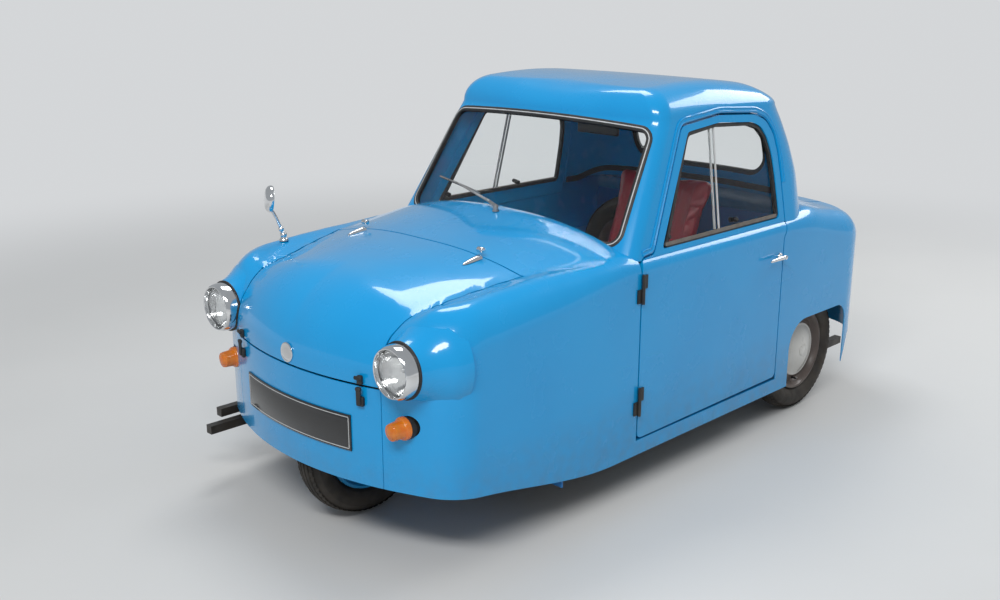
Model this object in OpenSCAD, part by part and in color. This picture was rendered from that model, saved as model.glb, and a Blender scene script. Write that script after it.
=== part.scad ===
// Three wheeled car with one seat, one steered front wheel and two rear wheels.
// +X is the car's left, the nose faces -Y, +Z is up. The origin is on the floor, under the middle.

/* [Body] */
// Half the width over the body sides
half_width = 594; // [540:1:720]
// Distance from the origin to the middle of the nose
nose_y = 1317; // [1290:1:1500]
// Distance from the origin to the middle of the tail
tail_y = 1311; // [1280:1:1500]
// Radius of the nose in plan
nose_r = 1144; // [900:1:1600]
// Radius of the front corners in plan
front_corner_r = 150; // [110:1:180]
// Radius of the tail in plan
tail_r = 1300; // [1100:1:1700]
// Radius of the tail corners in plan
tail_corner_r = 200; // [150:1:230]
// Thickness of the outer panels
skin = 4; // [3:0.5:6]
// Thickness of the doors and sills
door_t = 35; // [30:1:42]
// Height of the sill's lower edge
sill_z = 154; // [140:1:180]
// Height of the nose's lower edge
nose_bottom_z = 264; // [250:1:290]

/* [Cab] */
// Thickness of the cab's walls
cab_t = 25; // [20:1:30]
// Height of the roof above the floor
roof_z = 1371; // [1340:1:1460]
// Rake of the windscreen from the horizontal
screen_rake = 58; // [57:0.5:59]
// Width of the rubber seals round the fixed windows
seal_w = 18; // [14:1:24]

/* [Doors and lids] */
// Front edge of the door
door_front_y = -331; // [-340:1:-320]
// Rear edge of the door below the waist
door_rear_y = 523; // [510:1:528]
// Height of the door's lower edge
door_bottom_z = 214; // [205:1:230]
// Gap round each moving panel
shut_gap = 7; // [6:0.5:9]
// Half the width of the nose panel and of the bonnet's front
bonnet_half_w = 370; // [340:1:380]
// Height of the seam between the nose panel and the bonnet
bonnet_seam_z = 575; // [560:1:590]
// Front edge of the engine lid
lid_front_y = 940; // [925:1:960]
// Half the width of the engine lid
lid_half_w = 380; // [340:1:400]
// Lower edge of the engine lid
lid_bottom_z = 470; // [460:1:520]

/* [Wheels] */
// Outer radius of a tyre
tyre_r = 250; // [235:1:255]
// Width of a tyre
tyre_w = 100; // [90:1:108]
// Radius of the wheel rim
rim_r = 155; // [148:1:165]
// Front wheel's centre
front_axle_y = -1035; // [-1040:1:-1025]
// Rear axle's centre
rear_axle_y = 805; // [795:1:815]
// Middle of a rear tyre from the centre line
rear_track_half = 495; // [485:1:505]
// Radius of an axle's end in its hub
axle_r = 9; // [8:0.5:11]

/* [Hidden] */

far = 2000;         // half the size of a cutting block
eps = 0.5;          // overrun of a cut
fit = 0.3;          // gap between pieces that seat on each other
body_blue = "#1c94d6";
black = "#202020";
chrome = "#c8ccd0";
steel = "#4a4c50";
burgundy = "#6d1424";

// ---- Plan outline: an end arc, a corner arc and a straight side, the same at nose and tail ----

// Centre of a corner arc, for an end at end_y with arc radius big, and a corner of radius small
function corner_x(w, small) = w - small;
function corner_y(w, end_y, big, small) = end_y - big + sqrt(pow(big - small, 2) - pow(w - small, 2));
// Half outline from the middle of the nose round to the middle of the tail. Its position u runs
// 0 to 1 on the nose arc, to 2 on the corner, to 3 on the side, to 4 on the rear corner, to 5.
function end_point(w, end_y, big, small, u) =
    let (turn = asin((w - small) / (big - small)))
    u < 1 ? let (a = u * turn) [big * sin(a), end_y - big + big * cos(a)]
    : let (a = turn + (u - 1) * (90 - turn))
      [corner_x(w, small) + small * sin(a), corner_y(w, end_y, big, small) + small * cos(a)];
// plan = [half width, nose y, nose radius, corner radius, tail y, tail radius, tail corner radius]
function plan_point(p, u) =
    u <= 2 ? let (e = end_point(p[0], p[1], p[2], p[3], u)) [e[0], -e[1]]
    : u >= 3 ? end_point(p[0], p[4], p[5], p[6], 5 - u)
    : let (a = -corner_y(p[0], p[1], p[2], p[3]), b = corner_y(p[0], p[4], p[5], p[6]))
      [p[0], a + (u - 2) * (b - a)];
function inset_plan(p, t) = [p[0] - t, p[1] - t, p[2] - t, p[3] - t, p[4] - t, p[5] - t, p[6] - t];
// Columns of a shell: denser round the corners
columns = [for (i = [0 : 7]) i / 8, for (i = [0 : 5]) 1 + i / 6, for (i = [0 : 15]) 2 + i / 16,
    for (i = [0 : 5]) 3 + i / 6, for (i = [0 : 6]) 4 + i / 6];

// A closed solid from rows of half rings, mirrored to both sides. rows[r][c] = [x, y, z] with x >= 0
module mirrored_solid(rows) {
    n = len(rows[0]);
    m = 2 * n - 2;
    count = len(rows);
    points = [for (row = rows) each concat(row, [for (c = [n - 2 : -1 : 1]) [-row[c][0], row[c][1],
        row[c][2]]])];
    sides = [for (r = [0 : count - 2], c = [0 : m - 1]) let (a = r * m + c, b = r * m + (c + 1) % m)
        each c < n - 1 ? [[a, a + m, b], [b, a + m, b + m]] : [[a, a + m, b + m], [a, b + m, b]]];
    last = (count - 1) * m;
    floor_strip = [for (c = [1 : n - 3]) each [[c, c + 1, m - c], [m - c, c + 1, m - c - 1]]];
    top_strip = [for (c = [1 : n - 3])
        each [[last + c, last + m - c, last + c + 1], [last + m - c, last + m - c - 1, last + c + 1]]];
    ends = [[0, 1, m - 1], [n - 2, n - 1, n], [last, last + m - 1, last + 1], [last + n - 2, last + n,
        last + n - 1]];
    polyhedron(points, concat(sides, floor_strip, top_strip, ends));
}

// ---- Lower body: upright walls, a rolled shoulder, and a deck that rises to the cab ----

body_plan = [half_width, nose_y, nose_r, front_corner_r, tail_y, tail_r, tail_corner_r];
// Width of the rolled shoulder at each place on the outline: [u, width]
shoulder_w = [[0, 250], [0.7, 180], [1, 110], [2, 100], [2.17, 95], [2.3, 50], [2.35, 36], [2.76, 36],
    [2.84, 60], [3, 100], [4, 110], [5, 150]];
// Height at which the upright wall ends: [u, z]
wall_top = [[0, 600], [0.7, 620], [1, 665], [2, 695], [2.17, 735], [2.3, 782], [2.35, 788], [2.76, 788],
    [2.84, 770], [3, 690], [4, 675], [5, 655]];
// Deck along the car: [y, middle z], [y, crease x], [y, crease z], [y, wing crest z]
deck_mid_z = [[-1317, 833], [-1100, 853], [-1000, 866], [-900, 876], [-756, 889], [-550, 917], [-390,
    943],
    [-200, 880], [500, 870], [760, 885], [900, 850], [1050, 822], [1311, 790]];
crease_x = [[-1317, 370], [-1178, 376], [-1110, 392], [-1005, 406], [-900, 431], [-756, 461], [-390, 572],
    [500, 560], [900, 500]];
crease_z = [[-1317, 768], [-1178, 772], [-1110, 782], [-1005, 800], [-900, 819], [-756, 840], [-390, 850],
    [-330, 838], [540, 838], [760, 858], [900, 826], [1050, 800], [1311, 772]];
crest_z = [[-1317, 796], [-1110, 818], [-1000, 828], [-900, 837], [-756, 848], [-390, 856], [-330, 838],
    [540, 838], [760, 850], [900, 822], [1050, 798], [1311, 770]];
crest_rise = 85;    // distance from the crease out to the wing's crest
crown_power = 2.4;  // how late the deck falls away towards the crease
spine_front_y = -700;
spine_rear_y = 700;
body_floor_z = 90;  // walls start here, and are trimmed to the lower edge

function deck_z(x, y) = let (xc = lookup(y, crease_x), zc = lookup(y, crease_z))
    x < xc ? lookup(y, deck_mid_z) - (lookup(y, deck_mid_z) - zc) * pow(x / xc, crown_power)
    : zc + (lookup(y, crest_z) - zc) * min(1, (x - xc) / crest_rise);
function spine_point(o, front, rear) = [0, min(max(o[1], front), rear)];
// Point at a distance inward from the outline along the line to the spine
function inward(o, s, d) = let (reach = norm(s - o)) o + (s - o) * min(d / reach, 1);
function body_row(plan, t, wide, up) = [for (u = columns) let (o = plan_point(plan, u),
    s = spine_point(o, spine_front_y, spine_rear_y), q = inward(o, s, wide * lookup(u, shoulder_w)),
    zw = lookup(u, wall_top)) [q[0], q[1], zw + up * (deck_z(q[0], q[1]) - t - zw)]];
function body_deck_row(plan, t, k) = [for (u = columns) let (o = plan_point(plan, u),
    s = spine_point(o, spine_front_y, spine_rear_y), q = inward(o, s, lookup(u, shoulder_w)),
    p = q + (s - q) * k) [p[0], p[1], deck_z(p[0], p[1]) - t]];
// Rows of equal height
function flat_row(plan, z) = [for (u = columns) let (o = plan_point(plan, u)) [o[0], o[1], z]];
shoulder_steps = [0, 20, 40, 60, 78];
deck_steps = [0, 0.12, 0.3, 0.5, 0.7, 0.88, 0.98];

module body_solid(t) {
    plan = inset_plan(body_plan, t);
    mirrored_solid(concat([flat_row(plan, body_floor_z - t)],
        [for (a = shoulder_steps) body_row(plan, t, 1 - cos(a), sin(a))],
        [for (k = deck_steps) body_deck_row(plan, t, k)]));
}
module body_skin(t) {
    difference() {
        body_solid(0);
        body_solid(t);
    }
}

// ---- Cab: leaning walls up to the roof's edge, then a rolled dome ----

roof_edge_z = 1258;
cab_foot_z = 780;
screen_foot = [-425, 853];   // y and z on the windscreen's middle line
cab_front_r = 3000;
cab_front_corner_r = 62;
cab_rear_r = 1500;
cab_rear_corner_r = 180;
cab_lean = 0.19;             // inward lean of the sides for each unit of height
// Rear of the cab: [z, y]
cab_rear_y = [[780, 850], [860, 845], [1000, 835], [1110, 800], [1200, 757], [1258, 722]];
cab_levels = [780, 860, 930, 1000, 1055, 1110, 1155, 1200, 1230];
// Width of the roof's rolled edge: [u, width]
roof_roll_w = [[0, 130], [1, 125], [2, 125], [3, 137], [4, 246], [5, 270]];
roof_steps = [0, 20, 40, 60, 78];
roof_deck_steps = [0, 0.25, 0.55, 0.8, 0.97];
roof_spine_front_y = 90;
roof_spine_rear_y = 330;
roof_peak_y = 142;
roof_crown = [0.00002, 0.00022];    // fall of the roof across and along, for each square of the distance

function cab_plan(z) = [half_width - 21 - cab_lean * (z - 853),
    -(screen_foot[0] + (z - screen_foot[1]) / tan(screen_rake)), cab_front_r, cab_front_corner_r,
    lookup(z, cab_rear_y), cab_rear_r, cab_rear_corner_r];
function roof_deck_z(x, y) = roof_z - roof_crown[0] * x * x - roof_crown[1] * pow(y - roof_peak_y, 2);
function roof_row(plan, t, wide, up) = [for (u = columns) let (o = plan_point(plan, u),
    s = spine_point(o, roof_spine_front_y, roof_spine_rear_y), q = inward(o, s, wide * lookup(u,
        roof_roll_w)))
    [q[0], q[1], roof_edge_z + up * (roof_deck_z(q[0], q[1]) - t - roof_edge_z)]];
function roof_deck_row(plan, t, k) = [for (u = columns) let (o = plan_point(plan, u),
    s = spine_point(o, roof_spine_front_y, roof_spine_rear_y), q = inward(o, s, lookup(u, roof_roll_w)),
    p = q + (s - q) * k) [p[0], p[1], roof_deck_z(p[0], p[1]) - t]];

module cab_solid(t) {
    top = inset_plan(cab_plan(roof_edge_z), t);
    mirrored_solid(concat([for (z = cab_levels) flat_row(inset_plan(cab_plan(z), t), z)],
        [for (a = roof_steps) roof_row(top, t, 1 - cos(a), sin(a))],
        [for (k = roof_deck_steps) roof_deck_row(top, t, k)]));
}
module cab_skin(outer, inner) {
    difference() {
        cab_solid(outer);
        cab_solid(inner);
        translate([0, 0, cab_foot_z]) cube([far, 2 * far, 1], center = true);
    }
}

// ---- Cutters ----

// Keeps what lies in a box given by its low and high corners
module block(low, high) {
    translate(low) cube(high - low);
}
// An outline in the side view (y to the right, z up), drawn through from x1 to x2
module side_prism(x1, x2) {
    translate([x1, 0, 0]) rotate([90, 0, 90]) linear_extrude(x2 - x1) children();
}
// An outline in the plan view, drawn upward from z1 to z2
module plan_prism(z1, z2) {
    translate([0, 0, z1]) linear_extrude(z2 - z1) children();
}
// A whole panel worked out as one shell
module panel(colour) {
    color(colour) resize([0, 0, 0]) children();
}
module left_or_right(side) {
    mirror([side < 0 ? 1 : 0, 0, 0]) children();
}

bonnet_rear_y = -776;
bonnet_corner = [461, -762];
bonnet_edge = [for (y = [-1200, -1110, -1005, -900]) [lookup(y, crease_x), y]];
module bonnet_outline() {
    right = concat([[bonnet_half_w, -far], [bonnet_half_w, -1200]],
        [for (p = bonnet_edge) if (p[1] > -1200) p], [bonnet_corner, [0, bonnet_rear_y]]);
    polygon(concat(right, [for (i = [len(right) - 2 : -1 : 0]) [-right[i][0], right[i][1]]]));
}
pillar_foot = [half_width - 19, -388];
module scuttle_outline() {
    polygon([[-bonnet_corner[0] - shut_gap, bonnet_corner[1]], [0, bonnet_rear_y], [bonnet_corner[0] +
        shut_gap,
        bonnet_corner[1]], pillar_foot, [pillar_foot[0], -300], [-pillar_foot[0], -300],
            [-pillar_foot[0], pillar_foot[1]]]);
}
// Lower edge of the nose and wings, from the sill up to the nose
edge_start_y = -450;
edge_run = 800;
function smooth(t) = let (c = min(max(t, 0), 1)) c * c * (3 - 2 * c);
function lower_edge_z(y) = sill_z + (nose_bottom_z - sill_z) * smooth((edge_start_y - y) / edge_run);
tail_bottom_z = 268;
arch_front_y = 618;
arch_rear_y = 1048;
arch_top_z = 415;
arch_front_r = 115;
arch_rear_r = 70;
module below_body() {
    polygon(concat([[-far, 0], [-far, nose_bottom_z]],
        [for (y = [-1310 : 86 : -450]) [y, lower_edge_z(y)]],
        [[arch_rear_y, sill_z], [arch_rear_y + 47, tail_bottom_z], [far, tail_bottom_z], [far, 0]]));
    hull() {
        translate([arch_front_y + arch_front_r, arch_top_z - arch_front_r]) circle(arch_front_r,
            $fn = 40);
        translate([arch_rear_y - arch_rear_r, arch_top_z - arch_rear_r]) circle(arch_rear_r, $fn = 32);
        translate([arch_front_y, sill_z - 60]) square([arch_rear_y - arch_front_y, 20]);
    }
}
waist_z = 838;
// Door outline in the side view
module door_outline() {
    polygon([[door_front_y, door_bottom_z], [door_front_y, 795], [door_front_y + 12, 824],
        [door_front_y + 38, waist_z],
        [-250, waist_z], [-26, 1234], [197, 1254], [420, 1238], [486, 1212], [526, 1160], [542, 1090],
            [547, 1000],
        [547, waist_z - 22], [538, waist_z - 40], [door_rear_y + 4, waist_z - 56], [door_rear_y, 770],
        [door_rear_y, door_bottom_z + 6]]);
}
// Window opening in the door
module window_outline() {
    polygon([[-205, 850], [2, 1208], [12, 1214], [190, 1229], [400, 1213], [455, 1190], [490, 1140],
        [506, 1080],
        [512, 1000], [514, 860], [506, 850]]);
}
// Windscreen opening, in the plane of the screen, measured from the screen's foot
screen_low = 36;
screen_high = 474;
screen_half_low = 518;
screen_half_high = 484;
screen_corner_r = 55;
module screen_outline() {
    hull() {
        for (s = [-1, 1]) {
            translate([s * (screen_half_low - screen_corner_r), screen_low + screen_corner_r])
                circle(screen_corner_r, $fn = 32);
            translate([s * (screen_half_high - screen_corner_r), screen_high - screen_corner_r])
                circle(screen_corner_r, $fn = 32);
        }
    }
}
module screen_prism(shrink) {
    translate([0, screen_foot[0], screen_foot[1]]) rotate([screen_rake, 0, 0])
        translate([0, 0, -150]) linear_extrude(300) offset(delta = -shrink) screen_outline();
}
// Rear window, looking along the car
rear_window_half_w = 340;
rear_window_low_z = 938;
rear_window_high_z = 1185;
rear_window_r = 100;
module rear_window_prism(shrink) {
    translate([0, far, 0]) rotate([90, 0, 0]) linear_extrude(far - 400) offset(delta = -shrink) hull() {
        for (s = [-1, 1], z = [rear_window_low_z + rear_window_r, rear_window_high_z - rear_window_r])
            translate([s * (rear_window_half_w - rear_window_r), z]) circle(rear_window_r, $fn = 32);
    }
}

// ---- Plain helpers ----

// A round bar from a to b
module rod(a, b, r) {
    v = b - a;
    translate(a) rotate([0, acos(v[2] / norm(v)), atan2(v[1], v[0])]) cylinder(r = r, h = norm(v),
        $fn = 32);
}
module both_sides() {
    children();
    mirror([1, 0, 0]) children();
}

// ---- Chassis and running gear ----

rail_x = 280;
arm_front_y = 640;
rail_w = 40;
rail_low_z = 106;
floor_z = sill_z + 2;
bulkhead_y = -700;
head_low_z = tyre_r * 2 + 62;
head_high_z = head_low_z + 150;
stem_r = 15;
head_wall = 12;
module chassis_frame() {
    color(black) {
        both_sides() {
            block([rail_x - rail_w / 2, bulkhead_y - 60, rail_low_z], [rail_x + rail_w / 2, 1150,
                floor_z]);
            // Uprights in front of the bulkhead and arms to the steering head
            block([rail_x - rail_w / 2, bulkhead_y - 50, floor_z], [rail_x + rail_w / 2, bulkhead_y - 10,
                640]);
            hull() {
                block([rail_x - rail_w / 2, bulkhead_y - 50, 600], [rail_x + rail_w / 2, bulkhead_y - 49,
                    640]);
                block([stem_r + 6, front_axle_y + 8, 600], [stem_r + head_wall - 2, front_axle_y + 22,
                    640]);
            }
            // Seats of the rear arms
            block([rail_x - 14, arm_front_y, floor_z], [rail_x + 14, arm_front_y + 30, floor_z + 40]);
        }
        for (y = [bulkhead_y - 40, -100, 450, 900, 1090])
            block([-rail_x, y - 20, rail_low_z], [rail_x, y + 20, floor_z - fit]);
        // Bearers under the engine
        for (y = [900, 1090]) block([-170, y - 15, floor_z], [170, y + 15, engine_low_z]);
        // Steering head
        translate([0, front_axle_y, head_low_z]) difference() {
            cylinder(r = stem_r + head_wall, h = head_high_z - head_low_z, $fn = 48);
            translate([0, 0, -eps]) cylinder(r = stem_r + fit, h = head_high_z - head_low_z + 2 * eps,
                $fn = 48);
        }
        // Tow bracket with its two bolt holes
        difference() {
            block([-75, 1150 - 12, rail_low_z - 6], [75, 1150, floor_z + 30]);
            for (s = [-1, 1]) translate([s * tow_spacing / 2, 1150 - 12 - eps, tow_z]) rotate([-90, 0, 0])
                cylinder(r = tow_hole_r, h = 12 + 2 * eps, $fn = 32);
        }
        both_sides() block([70, 1110 - eps, rail_low_z], [75, 1150, floor_z]);
    }
}
tow_spacing = 100;
tow_hole_r = 6.5;
tow_z = floor_z + 8;

iron = 30;
iron_z = 205;
module carrier_irons() {
    color(black) {
        block([-535, -1310, iron_z - iron / 2], [-535 + iron, bulkhead_y - 55, iron_z + iron / 2]);
        block([-580, -1240, iron_z + 18], [-580 + iron, -1000, iron_z + 18 + iron]);
        block([-580, -1060, iron_z + iron / 2], [-505, -1030, iron_z + 18]);
        block([-535, bulkhead_y - 55, iron_z - iron / 2 - 44], [-535 + iron, bulkhead_y - 25, iron_z +
            iron / 2]);
        block([-535, bulkhead_y - 55, rail_low_z + 10], [-rail_x - rail_w / 2, bulkhead_y - 25,
            rail_low_z + 40]);
        // Rear iron on the left
        block([rail_x - 20, 1110, floor_z], [470, 1140, floor_z + iron]);
        block([440, 1110, floor_z], [470, 1270, floor_z + iron]);
    }
}

module floor_pan() {
    color(black) {
        block([door_t - half_width, bulkhead_y + fit, floor_z], [half_width - door_t, rear_wall_y - fit,
            floor_z + floor_t]);
        block([fit - wheel_box_x, rear_wall_y - 1, floor_z], [wheel_box_x - fit,
            back_wall_y - skin - fit, floor_z + floor_t]);
    }
}
floor_t = 6;
rear_wall_y = 534;    // in front of the rear wheels
back_wall_y = 626;    // between the wheel boxes
wheel_box_x = 425;
shelf_z = 600;
shelf_rear_y = 836;
module bulkheads() {
    panel(body_blue) intersection() {
        body_solid(skin + fit);
        difference() {
            union() {
                block([-far, bulkhead_y - 6, floor_z + fit], [far, bulkhead_y, far]);
                block([-far, rear_wall_y, floor_z], [far, back_wall_y, shelf_z + skin]);
                block([-far, back_wall_y - skin, shelf_z], [far, shelf_rear_y, shelf_z + skin]);
                block([-wheel_box_x - skin, back_wall_y - skin, floor_z], [wheel_box_x + skin,
                    back_wall_y, shelf_z + skin]);
                block([-far, shelf_rear_y - skin, shelf_z], [far, shelf_rear_y, 780]);
            }
            // Room behind the seat, and the wheels' side of the wheel boxes
            block([-wheel_box_x, 0, 0], [wheel_box_x, back_wall_y - skin, far]);
            both_sides() block([wheel_box_x + skin, rear_wall_y + skin, 0], [far, far, shelf_z]);
            both_sides() block([half_width - door_t - fit, -600, 0], [far, far, door_bottom_z]);
        }
    }
}

// ---- Outer panels ----

module nose_panel() {
    panel(body_blue) intersection() {
        difference() {
            body_skin(skin);
            side_prism(-far, far) below_body();
        }
        block([-bonnet_half_w - 6, -far, 0], [bonnet_half_w + 6, bulkhead_y, bonnet_seam_z]);
    }
}
module front_wing(side) {
    left_or_right(side) panel(body_blue) difference() {
        intersection() {
            body_skin(skin);
            block([0, -far, 0], [far, door_front_y - shut_gap, far]);
        }
        block([-far, -far, 0], [bonnet_half_w + 6, bulkhead_y, bonnet_seam_z]);
        plan_prism(bonnet_seam_z - 1, far) offset(delta = 6) bonnet_outline();
        plan_prism(bonnet_seam_z, far) scuttle_outline();
        side_prism(-far, far) below_body();
        cab_solid(0);
        lamp_holes();
    }
}
module scuttle_panel() {
    panel(body_blue) difference() {
        intersection() {
            body_skin(skin);
            plan_prism(bonnet_seam_z, far) scuttle_outline();
            block([-far, -far, 0], [far, door_front_y - shut_gap, far]);
        }
        plan_prism(bonnet_seam_z, far) offset(delta = 6) bonnet_outline();
        cab_solid(0);
    }
    // Feet behind the bonnet's hinge barrels
    color(chrome) both_sides() block([hinge_x - 9, bonnet_axis_y + hinge_pin_r + 3 + fit, deck_z(hinge_x,
        bonnet_axis_y + 20) - 2],
        [hinge_x + 9, bonnet_axis_y + hinge_pin_r + 16, bonnet_axis_z + 4]);
}
module bonnet() {
    panel(body_blue) intersection() {
        body_skin(skin);
        plan_prism(bonnet_seam_z + shut_gap, far) bonnet_outline();
        block([-far, -far, 0], [far, bulkhead_y, far]);
    }
}
hinge_x = 292;
bonnet_axis_y = -772;
bonnet_axis_z = 897;
hinge_pin_r = 5;
module bonnet_hinges() {
    color(chrome) both_sides() {
        translate([hinge_x - 12, bonnet_axis_y, bonnet_axis_z]) rotate([0, 90, 0])
            cylinder(r = hinge_pin_r + 3, h = 24, $fn = 32);
        hull() {
            block([hinge_x - 11, bonnet_axis_y - 6, bonnet_axis_z - 8], [hinge_x + 11, bonnet_axis_y - 2,
                bonnet_axis_z + 7]);
            block([hinge_x - 4, bonnet_axis_y - 74, deck_z(hinge_x, bonnet_axis_y - 74) + fit],
                [hinge_x + 4, bonnet_axis_y - 72, deck_z(hinge_x, bonnet_axis_y - 74) + 8]);
        }
    }
}
latch_x = 310;
latch_low_z = 517;
latch_high_z = 612;
// Places children on the nose at latch_x, with -Y pointing out of the nose
module on_nose_sides() {
    a = asin(latch_x / nose_r);
    both_sides() translate([latch_x, nose_r * (1 - cos(a)) - nose_y, 0]) rotate([0, 0, a]) children();
}
module bonnet_catches() {
    color(black) on_nose_sides() {
        block([-9, -12, bonnet_seam_z + shut_gap + 2], [9, -fit, latch_high_z]);
        block([-14, -20, latch_high_z - 12], [14, -12, latch_high_z]);
    }
}
module nose_latches() {
    color(black) on_nose_sides() {
        block([-13, -14, latch_low_z], [13, -fit, latch_low_z + 30]);
        block([-8, -20, latch_low_z + 10], [8, -14, bonnet_seam_z + 2]);
    }
}
module cab_shell() {
    panel(body_blue) difference() {
        cab_skin(0, cab_t);
        body_solid(0);
        screen_prism(0);
        rear_window_prism(0);
        both_sides() side_prism(380, far) offset(delta = shut_gap) door_outline();
        block([-far, -300, 0], [far, rear_wall_y - 60, waist_z + 4]);
    }
}
glass_low = 6;
glass_t = 5;
module window_glass() {
    panel("#b8ccd0") intersection() {
        cab_skin(glass_low, glass_low + glass_t);
        union() {
            screen_prism(seal_w + fit);
            rear_window_prism(seal_w + fit);
        }
    }
}
module window_seals() {
    panel(black) intersection() {
        difference() {
            cab_skin(-3, cab_t - 8);
            body_solid(-fit);
        }
        union() {
            difference() {
                screen_prism(fit);
                screen_prism(seal_w);
            }
            difference() {
                rear_window_prism(fit);
                rear_window_prism(seal_w);
            }
        }
    }
}
module sills() {
    panel(body_blue) intersection() {
        body_skin(door_t);
        union() {
            block([half_width - door_t, door_front_y - shut_gap, sill_z], [far, arch_front_y,
                door_bottom_z - shut_gap]);
            block([-far, door_front_y - shut_gap, sill_z], [door_t - half_width, arch_front_y,
                door_bottom_z - shut_gap]);
        }
    }
}
quarter_split_x = 430;
module rear_quarter(side) {
    left_or_right(side) panel(body_blue) difference() {
        intersection() {
            body_skin(skin);
            block([quarter_split_x, door_rear_y + shut_gap - 1, 0], [far, far, far]);
        }
        block([0, 0, 0], [far, arch_front_y, door_bottom_z - shut_gap]);
        side_prism(-far, far) offset(delta = shut_gap - 1) door_outline();
        side_prism(-far, far) below_body();
        cab_solid(0);
        tail_lamp_holes();
    }
}
module lid_cut(gap) {
    block([-lid_half_w - gap, lid_front_y - gap, lid_bottom_z - gap], [lid_half_w + gap, far, far]);
}
module tail_panel() {
    panel(body_blue) difference() {
        intersection() {
            body_skin(skin);
            block([-quarter_split_x, rear_wall_y, 0], [quarter_split_x, far, far]);
        }
        lid_cut(shut_gap);
        side_prism(-far, far) below_body();
        cab_solid(0);
    }
    // Feet in front of the lid's hinge barrels
    color(body_blue) both_sides() block([lid_hinge_x - 12, lid_axis_y - 24, deck_z(lid_hinge_x,
        lid_axis_y - 24) - 3],
        [lid_hinge_x + 12, lid_axis_y - hinge_pin_r - 1 - fit, lid_axis_z + 3]);
}
module engine_lid() {
    panel(body_blue) intersection() {
        body_skin(skin);
        lid_cut(0);
    }
}

lid_hinge_x = 260;
lid_axis_y = lid_front_y - 4;
lid_axis_z = 853;
module lid_hinges() {
    color(body_blue) both_sides() {
        translate([lid_hinge_x - 20, lid_axis_y, lid_axis_z]) rotate([0, 90, 0])
            cylinder(r = hinge_pin_r + 1, h = 40, $fn = 32);
        hull() {
            block([lid_hinge_x - 18, lid_axis_y + 3, lid_axis_z - 6], [lid_hinge_x + 18, lid_axis_y + 5,
                lid_axis_z + 3]);
            block([lid_hinge_x - 18, lid_axis_y + 58, deck_z(lid_hinge_x, lid_axis_y + 58) + 2 * fit],
                [lid_hinge_x + 18, lid_axis_y + 60, deck_z(lid_hinge_x, lid_axis_y + 58) + 4]);
        }
    }
}

// ---- Doors ----

module door(side) {
    left_or_right(side) panel(body_blue) difference() {
        intersection() {
            union() {
                intersection() {
                    body_skin(door_t);
                    block([half_width - door_t - 6, -far, 0], [far, far, far]);
                }
                difference() {
                    cab_skin(0, cab_t);
                    block([-far, -far, 0], [far, far, waist_z - 6]);
                }
            }
            side_prism(400, far) door_outline();
        }
        side_prism(300, far) window_outline();
    }
}
pane_x = 9;
module door_glass(side) {
    left_or_right(side) panel("#b8ccd0") intersection() {
        cab_skin(pane_x, pane_x + 9);
        side_prism(300, far) offset(delta = -fit) window_outline();
        union() {
            intersection() {
                cab_skin(pane_x, pane_x + 4);
                block([300, -far, 0], [far, pane_split_y + 20, far]);
            }
            intersection() {
                cab_skin(pane_x + 4.5, pane_x + 8.5);
                block([300, pane_split_y, 0], [far, far, far]);
            }
        }
    }
}
pane_split_y = 215;
handle_y = 500;
handle_z = 707;
module door_handle(side) {
    left_or_right(side) color(chrome) {
        translate([half_width + fit, handle_y, handle_z]) rotate([0, 90, 0]) cylinder(r = 14, h = 7,
            $fn = 32);
        translate([half_width + 6, handle_y, handle_z]) rotate([0, 90, 0]) cylinder(r = 8, h = 24,
            $fn = 32);
        hull() {
            block([half_width + 22, handle_y - 104, handle_z - 5], [half_width + 28, handle_y - 100,
                handle_z + 5]);
            block([half_width + 22, handle_y + 14, handle_z - 9], [half_width + 33, handle_y + 18,
                handle_z + 9]);
        }
    }
}
// Door hinges stand proud of the skin, with the pin in front of the shut line
hinge_axis_x = half_width + 9;
hinge_axis_y = door_front_y - 5;
hinge_levels = [350, 742];
hinge_half_h = 50;
// Lower knuckles with a leaf on the wing
module door_hinges() {
    color(black) both_sides() for (z = hinge_levels) {
        translate([hinge_axis_x, hinge_axis_y, z - hinge_half_h]) cylinder(r = 6, h = hinge_half_h - fit,
            $fn = 32);
        block([half_width, hinge_axis_y - 22, z - 46], [half_width + 6, hinge_axis_y, z - fit]);
    }
}
// Upper knuckles with a leaf on the door
module hinge_leaves(side) {
    left_or_right(side) color(black) for (z = hinge_levels) {
        translate([hinge_axis_x, hinge_axis_y, z]) cylinder(r = 6, h = hinge_half_h, $fn = 32);
        block([half_width + 2, hinge_axis_y, z], [half_width + 6, hinge_axis_y + 14, z + 46]);
        block([half_width, hinge_axis_y + 12, z], [half_width + 6, hinge_axis_y + 26, z + 46]);
    }
}

// ---- Lamps, plates and trim ----

lamp_x = 458;
lamp_z = 654;
lamp_face_y = -1288;
lamp_r = 82;
lamp_back_y = -1205;
module lamp_places(z) {
    both_sides() translate([lamp_x, 0, z]) rotate([90, 0, 0]) children();
}
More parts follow.
